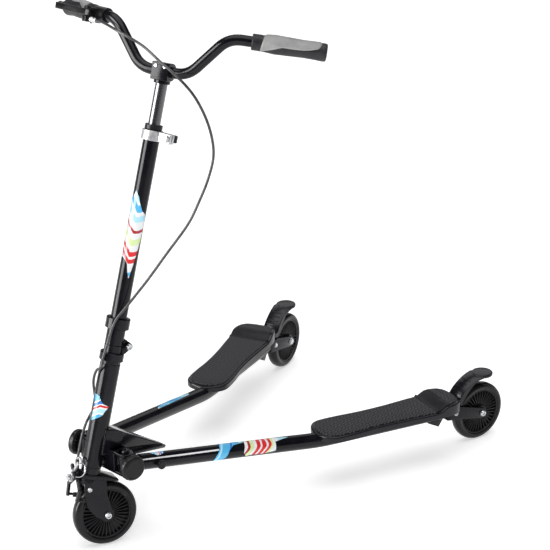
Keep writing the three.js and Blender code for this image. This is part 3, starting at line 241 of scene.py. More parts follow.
def hung_wheel(prefix, body, place):
    axle_way = place @ turned_by(90, "Y")
    rubber = joined((tyre_shape(), axle_way))
    fitted(rubber, f"{prefix}_tyre_rubber", tyre_finish, "tyre", body, f"{prefix}_tyre")
    disc = joined((hub_shape(), axle_way))
    fitted(disc, f"{prefix}_hub_disc", hub_finish, "black_plastic", body, f"{prefix}_hub")


# Axle bolts: zinc-plated steel, with a button head and its socket on the near side, and a washer and lock nut on the
# far side. The smaller bolts of the fork, the fold joint and the fenders are made alike.
zinc_finish = finish_of("zinc_plate", (0.5, 0.51, 0.52), (0.68, 0.69, 0.7), 300, 1500, 0.1, 0.24, metallic=0.75)
round_steps = 40


def verts_in(items):
    return [item for item in items if isinstance(item, bmesh.types.BMVert)]


def plate(outline, thick, reach=0.0, segments=2):
    bm = bmesh.new()
    face = bm.faces.new([bm.verts.new((x, y, 0)) for x, y in outline])
    raised = bmesh.ops.extrude_face_region(bm, geom=[face])["geom"]
    bmesh.ops.translate(bm, vec=(0, 0, thick), verts=verts_in(raised))
    return bevelled(bm, sharp_edges(bm, 0.6), reach, segments) if reach else bm


def rod(radius, length, reach=0.6, steps=round_steps):
    return spun([(0, 0), (radius, 0), (radius, length), (0, length)], steps, reach)


def hoop(inner, outer, low, high, cut=0.0, rise=0.0):
    line = [(inner, low), (outer - cut, low), (outer, low + rise), (outer, high - rise), (outer - cut, high),
            (inner, high)]
    return [point for i, point in enumerate(line) if point not in line[:i]] + line[:1]


def socket_head(radius, rim, crown, high, mouth, well, floor):
    return [(0, 0), (radius, 0), (radius, rim), (crown, high), (mouth, high), (well, floor), (0, floor)]


def ring_of(radius, count):
    angles = [2 * math.pi * i / count for i in range(count)]
    return [(radius * math.cos(angle), radius * math.sin(angle)) for angle in angles]


def fitted_bolt(name, place, radius, reach, wide, high, body, node):
    line = place @ turned_by(90, "Y")
    head = socket_head(wide, high * 0.45, wide * 0.8, high, wide * 0.5, wide * 0.42, high * 0.5)
    shape = joined(
        (rod(radius, 2 * reach), moved(0, 0, -reach)), (spun(head, round_steps, 0.3), moved(0, 0, reach)),
        (plate(ring_of(wide, 6), high * 0.8, 0.5), moved(0, 0, -reach - high * 0.8)),
        (spun(hoop(radius, wide * 1.15, 0, 1), round_steps), moved(0, 0, -reach - 0.2)))
    fitted(joined((shape, line)), name, zinc_finish, "bright_steel", body, node)


# Front end: the head frame leans back, and the steering frame is turned in it as in the photograph. The wheel hangs
# on its bolt behind the steering axis, at the height where it meets the floor together with the rear wheels.
head_lean, steered, tread_half = 15.7, 20.3, 3
head = scooter @ moved(0, 0, wheel_radius) @ turned_by(-head_lean, "X")
steer = head @ turned_by(-steered, "Z")
trail_back = 45 * math.cos(head_lean * degree)
wheel_lean = math.asin(math.sin(steered * degree) * math.sin(head_lean * degree))
front_drop = wheel_radius * math.cos(wheel_lean) + tread_half * math.sin(wheel_lean)
rear_drop = wheel_radius * math.cos(math.pi / 36)
back_drop = trail_back * math.cos(steered * degree) * math.sin(head_lean * degree)
axle_high = (front_drop - rear_drop + back_drop) / math.cos(head_lean * degree)
front_axle_place = steer @ moved(0, trail_back, axle_high)
axle_bolt, cross_bolt = (4, 19.3, 6.5, 5), (19.3, 4.6, 3.5)
hung_wheel("front", "front_wheel", front_axle_place)
fitted_bolt("front_axle_bolt", front_axle_place, *axle_bolt, "steering", "front_axle")
fitted_bolt("fork_cross_bolt", steer @ moved(0, -3, 60), 2.5, *cross_bolt, "steering", "fork_bolt")

# Fork: two pressed steel cheeks welded under a folded crown, with the steerer tube welded in, in black powder coat.
# The cheeks sweep back from the crown to the axle.
paint_finish = finish_of("black_powder_coat", (0.004, 0.004, 0.006), (0.008, 0.008, 0.011), 25, 420, 0.05, 0.17,
                         shine=0.22)
cheek_thick, cheek_sides = 3, (-19, 16)
side_on = Matrix(((0, 0, 1, 0), (1, 0, 0, 0), (0, 1, 0, 0), (0, 0, 0, 1)))


def arc_points(centre, radius, start, end, steps):
    angles = [(start + (end - start) * i / steps) * degree for i in range(steps + 1)]
    return [(centre[0] + radius * math.cos(angle), centre[1] + radius * math.sin(angle)) for angle in angles]


def side_plate(outline, thick, aside, place, reach=0.8, segments=2):
    return plate(outline, thick, reach, segments), place @ moved(aside, 0, 0) @ side_on


leg = softened([(-17, 81), (-15.4, 76.7), (-9.6, 45.7), (0.7, 22.5), (19.6, 7.4), (36, 1.4)], 7)
leg += arc_points((trail_back, axle_high), 11, -90, 28, 12)
leg += softened([(54, 16), (32.6, 55.2), (27.4, 81)], 8)[1:]
crown = [(-20, 70), (-2, 70), (6, 79), (52, 79), (52, 83), (24, 88.2), (-20, 88.2)]
fork_piece = joined(
    *[side_plate(leg, cheek_thick, aside, steer) for aside in cheek_sides],
    side_plate(crown, 38, -19, steer, 1.6, 3), (rod(12.7, 241), steer @ moved(0, 0, 79)))
fitted(fork_piece, "fork_legs", paint_finish, "black_paint", "steering", "fork")

# Front brake: two cast arms cross on one bolt in front of the crown, each with a notched rubber block beside the
# tyre. A bent guide, a link, a wire loop and a small knurled bolt of bright steel lead the cable to them.
dark_cast_finish = finish_of("dark_cast", (0.008, 0.008, 0.009), (0.015, 0.015, 0.016), 90, 900, 0.2, 0.28,
                             shine=0.25)
block_rubber = finish_of("brake_block_rubber", (0.012, 0.012, 0.012), (0.02, 0.02, 0.02), 120, 900, 0.3, 0.7)


def drawn(section, places):
    bm = bmesh.new()
    loop = [bm.verts.new(places[0] @ Vector((x, y, 0))) for x, y in section]
    bm.faces.new(loop)
    edges = [bm.edges.get((a, b)) for a, b in zip(loop, loop[1:] + loop[:1])]
    for before, here in zip(places, places[1:]):
        raised = bmesh.ops.extrude_edge_only(bm, edges=edges)["geom"]
        verts = verts_in(raised)
        edges = [item for item in raised if isinstance(item, bmesh.types.BMEdge) and set(item.verts) <= set(verts)]
        bmesh.ops.transform(bm, matrix=here @ before.inverted(), verts=verts)
    bmesh.ops.holes_fill(bm, edges=edges, sides=0)
    return bm


def framed(side, over, run, at):
    place = Matrix((side, over, run)).transposed().to_4x4()
    place.translation = at
    return place


def tube_along(points, radius, sides, up=Vector((0, 0, 1))):
    places = []
    for i, point in enumerate(points):
        run = (points[min(i + 1, len(points) - 1)] - points[max(i - 1, 0)]).normalized()
        side = up.cross(run).normalized()
        places.append(framed(side, run.cross(side), run, point))
    return drawn(ring_of(radius, sides), places)


def rounded_corners(corners, reach, steps=10):
    points = [corners[0]]
    for before, corner, after in zip(corners, corners[1:], corners[2:]):
        points += corner_curve(before, corner, after, reach, steps)
    return points + [corners[-1]]


def strap_shape(points, wide, thick):
    piece = bmesh.new()
    for (x0, y0), (x1, y1) in zip(points, points[1:]):
        run = math.hypot(x1 - x0, y1 - y0)
        outline = arc_points((0, 0), wide / 2, 90, 270, 10) + arc_points((run, 0), wide / 2, -90, 90, 10)
        angle = math.atan2(y1 - y0, x1 - x0) / degree
        lay_in(piece, plate(outline, thick, 0.9), moved(x0, y0, 0) @ turned_by(angle, "Z"))
    return piece


upright, rearward = turned_by(90, "X"), turned_by(-90, "X")
caliper_place = steer @ moved(0, 0, 76.5)
shoe_aside, shoe_high = 18.1, -38.5
for side, layer, top, tag in ((1, -26, (-15, 27.5), "left"), (-1, -31.5, (-21, 15.5), "right")):
    strap = strap_shape([(side * shoe_aside, shoe_high), (side * 22, -18.5), (0, 0), top], 8.6, 5)
    arm_piece = joined(
        (strap, caliper_place @ moved(0, layer + 5, 0) @ upright),
        (rod(2.4, -12 - layer, 0.4, 24), caliper_place @ moved(side * shoe_aside, layer, shoe_high) @ rearward))
    fitted(arm_piece, f"brake_arm_{tag}", dark_cast_finish, "black_paint", f"caliper_{tag}", f"caliper_arm_{tag}")
    shoe = joined(
        (block(2.2, 24, 9, 0.5), caliper_place @ moved(side * 14.3, -8, shoe_high)),
        *[(block(2.6, 1.6, 9.4, 0.3, 1), caliper_place @ moved(side * 14.5, -8 + notch, shoe_high))
          for notch in (-8, -3, 2, 7)])
    fitted(shoe, f"brake_shoe_{tag}", block_rubber, "black_rubber", f"caliper_{tag}", f"brake_pad_{tag}")
pivot_line = caliper_place @ moved(0, -44, 0) @ rearward
pivot = joined(
    (rod(3, 38), pivot_line), (spun([(0, 0), (5.5, 0), (5.5, 4), (3, 4.6), (0, 4.6)], 12, 0.3), pivot_line),
    (spun(hoop(3, 7, 0, 1.2), round_steps), pivot_line @ moved(0, 0, 5)))
fitted(pivot, "brake_pivot_bolt", zinc_finish, "bright_steel", "steering", "caliper_bolt")
noodle = [Vector(at) for at in ((-14, -23.5, 106), (-9, -25, 113), (6, -26, 116), (14, -28, 108))]
loop_wire = [Vector(at) for at in ((12, -27, 111), (33, -27, 112), (41, -27, 101), (30, -28, 88), (9, -31, 80))]
across_front = Vector((0, 1, 0.1))
guide = joined(
    (tube_along(rounded_corners(noodle, 5, 5), 1.9, 14, across_front), steer),
    (block(6, 4, 21, 0.8), steer @ moved(0, -29.5, 97) @ turned_by(30, "Y")),
    (block(4, 6, 8, 0.6), steer @ moved(-7, -32, 86) @ turned_by(20, "Y")),
    (tube_along(rounded_corners(loop_wire, 7, 6), 0.9, 10, across_front), steer),
    (spun([(0, 0), (4.6, 0), (5, 0.6), (5, 5.4), (4.4, 6), (0, 6)], 14), steer @ moved(-1, -31.5, 72) @ upright))
fitted(guide, "caliper_guide", zinc_finish, "bright_steel", "steering")

# Head tube: a steel tube in black powder coat, open at both ends, where the headset bearings are pressed in.
# The bearings' rims show, and are left as the solids they are.
head_radius = 19
fitted(joined((spun(hoop(15, head_radius, 101, 300, 0.6, 0.8), 72), head)), "head_tube_shell", paint_finish,
       "black_paint", "frame", "head_tube")
frame["nodes"]["lower_headset_bearing"].material_slots[0].material = paint_finish
frame["nodes"]["upper_headset_bearing"].material_slots[0].material = hub_finish

# Neck: a pressed steel wedge welded behind the head tube over a flat lip plate and the two arm brackets. Each
# bracket has two flanges, which hold the arm's upright pivot bolt between them.
pivot_aside, pivot_back = 54, 65
flange_thick = 5.5
wedge = bmesh.new()
for x, y, z in ((22, 0, 178), (24.2, 22, 178), (26, 40, 172.7), (8.6, 166, 136), (8, 170, 134), (22, 0, 128),
                (26, 40, 128), (8, 170, 128)):
    wedge.verts.new((x, y, z))
    wedge.verts.new((-x, y, z))
bmesh.ops.convex_hull(wedge, input=wedge.verts)
bmesh.ops.dissolve_limit(wedge, angle_limit=0.02, verts=wedge.verts, edges=wedge.edges)
bevelled(wedge, sharp_edges(wedge, 0.2), 2.2, 3)
lip = [(-34, 19), (34, 19), (38, 45), (12, 172), (-12, 172), (-38, 45)]
neck_piece = joined(
    (wedge, head), (plate(lip, 6, 1.2), head @ moved(0, 0, 128)),
    (block(72, 28, 44.5, 1.5), scooter @ moved(0, 66, 170.75)))
for side in (-1, 1):
    for low in (148.5, 187.5):
        middle = scooter @ moved(side * pivot_aside / 2, pivot_back, low + flange_thick / 2)
        lay_in(neck_piece, block(pivot_aside, 28, flange_thick, 0.8), middle)
        lay_in(neck_piece, rod(14, flange_thick, 0.8, 48), scooter @ moved(side * pivot_aside, pivot_back, low))
fitted(neck_piece, "neck_pressing", paint_finish, "black_paint", "frame", "neck_box")
sides = ((1, "left"), (-1, "right"))
for side, tag in sides:
    at = scooter @ moved(side * pivot_aside, pivot_back, 0)
    pin = joined(
        (rod(5, 50), at @ moved(0, 0, 145.7)), (plate(ring_of(8, 6), 5, 0.6), at @ moved(0, 0, 143.2)),
        (spun(socket_head(8, 2.6, 6, 5, 3.6, 3, 3), 36, 0.3), at @ moved(0, 0, 193.3)))
    fitted(pin, f"arm_pivot_{tag}", paint_finish, "black_paint", "frame", f"arm_pivot_bolt_{tag}")

# Fold joint: a steel base clamped on the steerer, and above the split the lower tube with its own collar and hinge
# tongue, both in black powder coat. A cross bolt through the base's two ears holds the tongue.
column_radius = 15
fold_back, fold_high = 26, 336
base = [(13, 306), (21.6, 306), (22.4, 306.8), (22.4, 320.7), (21.6, 321.5), (17, 321.5), (17, 335.2), (16.5, 335.7),
        (13, 335.7), (13, 306)]
ear = arc_points((fold_back, fold_high), 7, -90, 90, 14) + [(13, 335.7), (13, 322), (20, 322)]
base_piece = joined((spun(base), steer), *[side_plate(ear, 5.6, aside - 2.8, steer) for aside in (-10.2, 10.2)])
fitted(base_piece, "fold_socket", paint_finish, "black_paint", "steering", "fold_base")
fitted_bolt("fold_bolt", steer @ moved(0, fold_back, fold_high), 3, 13.3, 6.2, 4, "steering", "fold_pin")
lower = [(13, 336.3), (16.5, 336.3), (17, 336.8), (17, 366.5), (21.6, 367), (22.4, 367.8), (22.4, 386.2), (21.6, 387),
         (column_radius, 387.6), (column_radius, 737.5), (14.5, 738), (13, 738), (13, 336.3)]
tongue = arc_points((fold_back, fold_high), 7, 0, 90, 10) + [(15, 350), (13, 350), (13, 336.3), (20, 336.3)]
lower_piece = joined((spun(lower), steer), side_plate(tongue, 13.4, -6.7, steer))
fitted(lower_piece, "lower_column", paint_finish, "black_paint", "column", "lower_tube")

# Bush: a black nylon sleeve pressed in the top of the lower tube, its rim standing above the collar. The upper tube
# slides in it.
bush = [(11.4, 747), (15.6, 747), (16.2, 746.4), (16.2, 739), (15.7, 738.3), (12.7, 738.3), (12.7, 726), (11.4, 726),
        (11.4, 747)]
fitted(joined((spun(bush, 56), steer)), "column_bush", hub_finish, "black_plastic", "column", "tube_bush")

# Collar: a split band of cast alloy with two ears, around the top of the lower tube. A bolt through the ears closes
# it, with a knurled nut at one end and a black quick lever at the other.
cast_finish = finish_of("cast_alloy", (0.42, 0.43, 0.44), (0.6, 0.61, 0.62), 200, 1100, 0.25, 0.34, metallic=0.6)
collar_place = steer @ turned_by(-55.2, "Z")
lever_aside, bolt_out, bolt_high = -15.8, 35, 728
band_piece = joined(
    (spun(hoop(15.3, 19.5, 719, 737, 0.6, 0.8)), collar_place),
    *[(block(5.8, 27, 18, 1.6), collar_place @ moved(aside, 29.5, bolt_high)) for aside in (-4.5, 4.5)])
fitted(band_piece, "collar_band", cast_finish, "cast_alloy", "column", "seat_collar")
bolt_line = collar_place @ moved(0, bolt_out, bolt_high) @ turned_by(90, "Y")
knurl = [(x * (1 - i % 2 / 14), y * (1 - i % 2 / 14)) for i, (x, y) in enumerate(ring_of(7, 36))]
nut_piece = joined(
    (rod(3, 30), bolt_line @ moved(0, 0, lever_aside)), (plate(knurl, 7, 0.3), bolt_line @ moved(0, 0, 7.8)),
    (rod(3, 12.6, 0.4, 24), collar_place @ moved(lever_aside, bolt_out, bolt_high - 6.3)))
fitted(nut_piece, "collar_nut", zinc_finish, "bright_steel", "column", "collar_bolt")
quick_place = collar_place @ moved(lever_aside, bolt_out, bolt_high)
handle = [(-4, -4), (-6, -26), (-4.4, -50), (-6, -52), (-8, -50), (-10, -26), (-8, 0), (-4, 0)]
quick_piece = joined(
    (spun(hoop(3.4, 8, -6.5, 6.5, 0.6, 0.6), round_steps), quick_place),
    (plate(handle, 12.6, 1.2), quick_place @ moved(0, 0, -6.3)))
fitted(quick_piece, "collar_quick_lever", dark_cast_finish, "black_paint", "collar_lever", "collar_lever")

# Upper tube: a steel tube with a dark chrome finish, sliding in the bush. The bar clamp's socket goes over its top,
# and the quick lever of the collar holds it at its height.
chrome_finish = finish_of("dark_chrome", (0.12, 0.12, 0.123), (0.16, 0.16, 0.165), 8, 300, 0.02, 0.26,
                          metallic=1.0, spread=0.03)
upper_piece = joined((spun(hoop(9.3, 11.1, 503, 830), 56), steer))
fitted(upper_piece, "upper_column", chrome_finish, "black_paint", "sliding_tube", "upper_tube")

# Handlebar: one bent steel tube in black powder coat, low in the clamp, rising to a knee on each side and swept back
# to its ends. It is turned in the column and stands a little out of level.
bar_radius = 10
bar_place = steer @ moved(0, 0, 844) @ turned_by(40.4, "Z")
tilted = bar_place @ turned_by(-2, "Y")
knee = Vector((113.5, 6, 78))
bar_end = Vector((273, 76.9, 80.2))
end_run = (bar_end - knee).normalized()
tube_end = bar_end - end_run * 30
half_bar = [Vector((47.8, 0, 0)), knee, tube_end]
mirrored_bar = [Vector((-point.x, point.y, point.z)) for point in reversed(half_bar)]
bar_piece = joined((tube_along(rounded_corners(mirrored_bar + half_bar, 24, 12), bar_radius, 40), tilted))
fitted(bar_piece, "bent_bar", paint_finish, "black_paint", "bar", "handlebar")

# Bar clamp: a cast block in black around the bar, on a socket over the upper tube. Two small zinc-plated screws in
# its front cap close it.
socket_line = [(11.4, -22), (14.5, -22), (15, -21.5), (15, -11), (11.4, -11), (11.4, -22)]
clamp_piece = joined(
    (spun(hoop(10.3, 16, 0, 34, 0.6, 0.8), 56), tilted @ moved(-17, 0, 0) @ turned_by(90, "Y")),
    (spun(socket_line, 56), bar_place),
    *[(block(34, 17, 5.4, 1.4), tilted @ moved(0, -9.5, middle)) for middle in (-13.3, 13.3)],
    (block(34, 6, 31.6, 1.4), tilted @ moved(0, -14.8, 0)))
fitted(clamp_piece, "stem_clamp", paint_finish, "black_paint", "bar", "bar_clamp")
for tag, aside in (("a", -9), ("b", 9)):
    head_line = socket_head(3.6, 2.2, 2.4, 3, 1.7, 1.5, 1.4)
    screw = joined((spun(head_line, 32, 0.2), tilted @ moved(aside, -16.8, 9) @ upright))
    fitted(screw, f"clamp_screw_{tag}", zinc_finish, "bright_steel", "bar")

# Grips: soft dark rubber sleeves pushed on the bar's ends, with a ribbed collar and a flared end. Each has a grey
# palm pad moulded on. The grip on the brake side ends in a short narrow tail with a steel ring.
rubber_finish = finish_of("grip_rubber", (0.012, 0.012, 0.014), (0.022, 0.022, 0.025), 70, 1400, 0.35, 0.45,
                          shine=0.35)
pad_finish = finish_of("palm_rubber", (0.28, 0.28, 0.275), (0.35, 0.35, 0.345), 50, 1500, 0.3, 0.55)
grip_reach = {"left": 104, "right": 83}
grip_line = {
    "left": [(10.3, 0), (14.6, 0), (14.6, 19), (16.6, 40), (15.8, 70), (15, 92), (15.6, 115), (16.4, 128), (15.6, 133),
             (12, 134), (0, 134)],
    "right": [(10.3, 0), (14.6, 0), (14.6, 19), (16.6, 40), (15, 66), (16.4, 82), (14, 86.5), (7.6, 88.5), (7, 91),
              (7, 112), (6, 115.5), (0, 116)]}
pad_start, pad_length, pad_facing = 22, {"left": 102, "right": 60}, {"left": 90, "right": 150}


def radius_at(line, height):
    for (r0, h0), (r1, h1) in zip(line, line[1:]):
        if h0 <= height <= h1 and h1 > h0:
            return r0 + (r1 - r0) * (height - h0) / (h1 - h0)
    return line[-1][0]


def grip_place(tag, side):
    run = Vector((side * end_run.x, end_run.y, end_run.z))
    over = (Vector((0, 0, 1)) - run * run.z).normalized()
    start = Vector((side * tube_end.x, tube_end.y, tube_end.z)) - run * grip_reach[tag]
    return tilted @ framed(over.cross(run), over, run, start)


def palm_shape(tag, side):
    skin = bmesh.new()
    bmesh.ops.create_grid(skin, x_segments=60, y_segments=48, size=0.5)
    for vert in skin.verts:
        share = vert.co.x + 0.5
        across = vert.co.y * 2
        half_wrap = 100 + 62 * max(0, 1 - share / 0.32) ** 1.2 - 34 * max(0, (share - 0.55) / 0.45) ** 2
        if share > 0.93:
            half_wrap *= math.sqrt(max(0, 1 - ((share - 0.93) / 0.075) ** 2))
        height = pad_start + share * pad_length[tag] - 7 * side * across * max(0, 1 - share / 0.3)
        edge = min(1, (1 - abs(across)) * 9, share * 26, (1 - share) * 20)
        radius = radius_at(grip_line[tag], height) - 0.6 + 2.3 * math.sin(edge * math.pi / 2)
        angle = pad_facing[tag] * degree + across * half_wrap * degree
        vert.co = (radius * math.cos(angle), radius * math.sin(angle), height)
    bmesh.ops.solidify(skin, geom=skin.faces[:], thickness=0.5)
    return skin


for side, tag in sides:
    place = grip_place(tag, side)
    sleeve = joined((spun(grip_line[tag], 56, 1.6), place))
    for low in (2.5, 5.5, 8.5, 11.5, 14.5):
        rib = [(14, low), (15.1, low + 0.5), (15.1, low + 1.7), (14, low + 2.2), (14, low)]
        lay_in(sleeve, spun(rib, 56), place)
    fitted(sleeve, f"grip_{tag}", rubber_finish, "black_rubber", "bar", f"grip_sleeve_{tag}")
    fitted(joined((palm_shape(tag, side), place)), f"palm_{tag}", pad_finish, "grey_rubber", "bar", f"palm_pad_{tag}")
ferrule = joined((spun(hoop(6.6, 7.3, 100, 103), 48), grip_place("right", -1)))
fitted(ferrule, "tail_ring", zinc_finish, "bright_steel", "bar")

# Brake lever: a black housing clamped on the bar beside the grip, with a dark cast blade on a pivot between its two
# jaws. The cable's adjuster, bright steel with its bracket and screw, is screwed in the side.
pin_along, pin_front = 9, 27
right_run = Vector((-end_run.x, end_run.y, end_run.z))
frontward = (Vector((0, -1, 0)) + right_run * right_run.y).normalized()
perch_at = Vector((-tube_end.x, tube_end.y, tube_end.z)) - right_run * (grip_reach["right"] + 18.3)
perch = tilted @ framed(right_run, frontward, right_run.cross(frontward), perch_at)
jaw = [(-9, 0), (9, 0), (9, 26), (5, 33), (-5, 33), (-9, 26)]
housing = joined(
    (spun(hoop(10.3, 14, -18, 18, 0.8, 1), 56), perch @ turned_by(90, "Y")),
    *[(plate(jaw, high - low, 0.9), perch @ moved(pin_along, 0, low)) for low, high in ((6.4, 9.5), (-17, -6.4))],
    (block(18, 13, 20, 1.4), perch @ moved(pin_along, 7.6, -4)))
fitted(housing, "lever_housing", hub_finish, "black_paint", "bar", "brake_perch")
pin = joined(
    (rod(2.6, 19, 0.3, 24), perch @ moved(pin_along, pin_front, -6.6)),
    (spun(socket_head(6, 1.6, 4.6, 2.5, 2, 1.7, 1.5), 32, 0.2), perch @ moved(pin_along, pin_front, 9.8)))
fitted(pin, "lever_pivot", dark_cast_finish, "bright_steel", "bar", "lever_pin")
blade_line = [(-8, 2), (-8, -2), (0, -5.2), (9, -3), (46, 3.5), (92, 0.8), (95, 3), (92, 5.4), (46, 8.5), (9, 3),
              (0, 5.2)]
blade = joined((plate(blade_line, 11.6, 1.4, 3), perch @ moved(pin_along, pin_front, -5.8)))
fitted(blade, "lever_blade", dark_cast_finish, "black_paint", "brake_lever", "brake_lever")
barrel_place = perch @ moved(-0.3, 24, -11.5) @ turned_by(-90, "Y")
bracket_screw = spun([(0, 0), (3.2, 0), (3.2, 1.6), (2.2, 2.4), (0, 2.4)], 24, 0.2)
barrel = joined(
    (spun([(0, 0), (4.2, 0), (4.2, 12), (3.2, 16), (0, 16)], 32, 0.3), barrel_place),
    (plate(ring_of(5.4, 6), 4, 0.4), barrel_place), (block(6, 9, 9, 1.2), perch @ moved(-7, 24, -11.5)),
    (bracket_screw, perch @ moved(1, 22, -17) @ turned_by(180, "X")))
fitted(barrel, "adjuster_barrel", zinc_finish, "bright_steel", "bar", "cable_adjuster")

# Brake cable: a sleeved steel wire held at both ends. It leaves the adjuster over the clamp, swings out in a loop
# and runs down the column to the brake arm. It is laid in four stretches; the three that span the bar's turn, the
# column's slide and its fold are tied to no part, and the last rides on the steering.
sleeve_finish = finish_of("cable_sleeve", (0.03, 0.03, 0.032), (0.06, 0.06, 0.063), 90, 1200, 0.1, 0.3)
cable_radius, cable_steps = 2.5, 8
cable_start, cable_lead = (steer.inverted() @ perch @ Vector((along, 24, -11.5)) for along in (-16.6, -32.6))
route = [Vector(point) for point in (
    cable_start, cable_lead, (-36, -81, 897), (-3, -49, 883), (30, -23, 862), (53, 0, 845), (70, 31, 819),
    (76, 60, 784), (76, 82, 746), (73, 93, 713), (70, 92, 669), (66, 85, 628), (58, 77, 587), (46, 49, 521),
    (36, 27, 469), (30, 8, 431), (25.7, -6.6, 403), (23.4, -12.4, 392), (20.5, -16.8, 375), (18, -19.5, 347),
    (16.2, -21, 328), (14.4, -22.2, 312), (13.8, -22.7, 294), (4, -26, 285), (-10, -22.5, 262), (-20, -13, 238.6),
    (-23.5, -4, 212.3), (-20.8, -12, 192.1), (-16.5, -19.3, 176.3), (-15, -23, 150), (-15, -23.5, 124.8),
    (-15, -23.5, 108.8))]


def between(one, other, start, end, t):
    return one * ((end - t) / (end - start)) + other * ((t - start) / (end - start))


def smooth_route(points):
    ends = [points[0] * 2 - points[1]] + points + [points[-1] * 2 - points[-2]]
    run = []
    for a, b, c, d in zip(ends, ends[1:], ends[2:], ends[3:]):
        t1 = (b - a).length ** 0.5
        t2 = t1 + (c - b).length ** 0.5
        t3 = t2 + (d - c).length ** 0.5
        for i in range(cable_steps):
            t = t1 + (t2 - t1) * i / cable_steps
            middle = between(b, c, t1, t2, t)
            before = between(between(a, b, 0, t1, t), middle, 0, t2, t)
            after = between(middle, between(c, d, t2, t3, t), t1, t3, t)
            run.append(between(before, after, t1, t2, t))
    return run + [points[-1]]


cable_run = smooth_route(route)
for name, first, last, across, start, end in (
        ("cable_bar", 0, 9, ("bar", "sliding_tube"), 1, 8), ("cable_loop", 9, 15, ("sliding_tube", "column"), 9, 14),
        ("cable_fold", 15, 25, ("column", "steering"), 18, 24), ("cable_foot", 25, 31, None, 0, 0)):
    points = cable_run[first * cable_steps:last * cable_steps + 1]
    wire = joined((tube_along(points, cable_radius, 12, Vector((0.9, -0.4, 0.1))), steer))
    made = finished(wire, name, sleeve_finish, 80)
    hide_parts("brake_cable")
    if across:
        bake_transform(made)
    else:
        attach(made, "steering")


# Prints: thin foil transfers laid around the tubes, white at the rim, with slanted bars and chevrons in blue, cyan,
# yellow-green and red. Each follows its tube's curve; the arms also carry a long white pinstripe.
def node_math(tree, operation, *values):
    node = tree.nodes.new("ShaderNodeMath")
    node.operation = operation
    for socket, value in zip(node.inputs, values):
        if isinstance(value, (int, float)):
            socket.default_value = value
        else:
            tree.links.new(value, socket)
    return node.outputs[0]


def map_parts(tree, name):
    spot = tree.nodes.new("ShaderNodeUVMap")
    spot.uv_map = name
    parts = tree.nodes.new("ShaderNodeSeparateXYZ")
    tree.links.new(spot.outputs["UV"], parts.inputs[0])
    return parts.outputs[0], parts.outputs[1]


def print_of(name, stops, slant, chevron):
    made = bpy.data.materials.new(name)
    made.use_nodes = True
    tree = made.node_tree
    across, along = map_parts(tree, "print")
    clouds = noise_in(tree, 60, 2)
    off_middle = node_math(tree, "ABSOLUTE", node_math(tree, "SUBTRACT", across, 0.5))
    leaning = node_math(tree, "ADD", node_math(tree, "MULTIPLY", across, slant),
                        node_math(tree, "MULTIPLY", off_middle, chevron))
    wavy = node_math(tree, "ADD", node_math(tree, "ADD", along, leaning), node_math(tree, "MULTIPLY", clouds, 0.05))
    ramp = tree.nodes.new("ShaderNodeValToRGB")
    ramp.color_ramp.interpolation = "CONSTANT"
    while len(ramp.color_ramp.elements) < len(stops):
        ramp.color_ramp.elements.new(1)
    for element, (at, colour) in zip(ramp.color_ramp.elements, stops):
        element.position = at
        element.color = (*colour, 1)
    tree.links.new(wavy, ramp.inputs["Fac"])
    blend = tree.nodes.new("ShaderNodeMix")
    blend.data_type = "RGBA"
    blend.inputs["A"].default_value = (0.86, 0.87, 0.88, 1)
    tree.links.new(map_parts(tree, "rim")[0], blend.inputs["Factor"])
    tree.links.new(ramp.outputs["Color"], blend.inputs["B"])
    tree.links.new(blend.outputs["Result"], tree.nodes["Principled BSDF"].inputs["Base Color"])
    gloss_in(tree, clouds, 0.2, 0.3)
    return made


def sliced(bm, way, low, high, count):
    for i in range(1, count):
        at = way * (low + (high - low) * i / count)
        bmesh.ops.bisect_plane(bm, geom=bm.verts[:] + bm.edges[:] + bm.faces[:], plane_co=at, plane_no=way)


def film(name, outline, place, radius, facing, finish, body, rim):
    bm = bmesh.new()
    face = bm.faces.new([bm.verts.new((x, y, 0)) for x, y in outline])
    if face.normal.z < 0:
        bmesh.ops.reverse_faces(bm, faces=[face])
    rim_map, print_map = bm.loops.layers.uv.new("rim"), bm.loops.layers.uv.new("print")
    border = set(bmesh.ops.inset_region(bm, faces=[face], thickness=rim)["faces"]) if rim else set()
    for face in bm.faces:
        for loop in face.loops:
            loop[rim_map].uv = (0 if face in border else 1, 0)
    bmesh.ops.triangulate(bm, faces=bm.faces[:])
    low, high = min(x for x, y in outline), max(x for x, y in outline)
    first, last = min(y for x, y in outline), max(y for x, y in outline)
    sliced(bm, Vector((1, 0, 0)), low, high, 24)
    for face in bm.faces:
        for loop in face.loops:
            loop[print_map].uv = ((loop.vert.co.x - low) / (high - low), (loop.vert.co.y - first) / (last - first))
    raised = bmesh.ops.extrude_face_region(bm, geom=bm.faces[:], use_keep_orig=True)["geom"]
    bmesh.ops.translate(bm, vec=(0, 0, 0.15), verts=verts_in(raised))
    for vert in bm.verts:
        angle = facing * degree + vert.co.x / radius
        reach = radius + 0.12 + vert.co.z
        vert.co = (reach * math.cos(angle), reach * math.sin(angle), vert.co.y)
    fitted(joined((bm, place)), name, finish, "black_paint", body, crease=60)


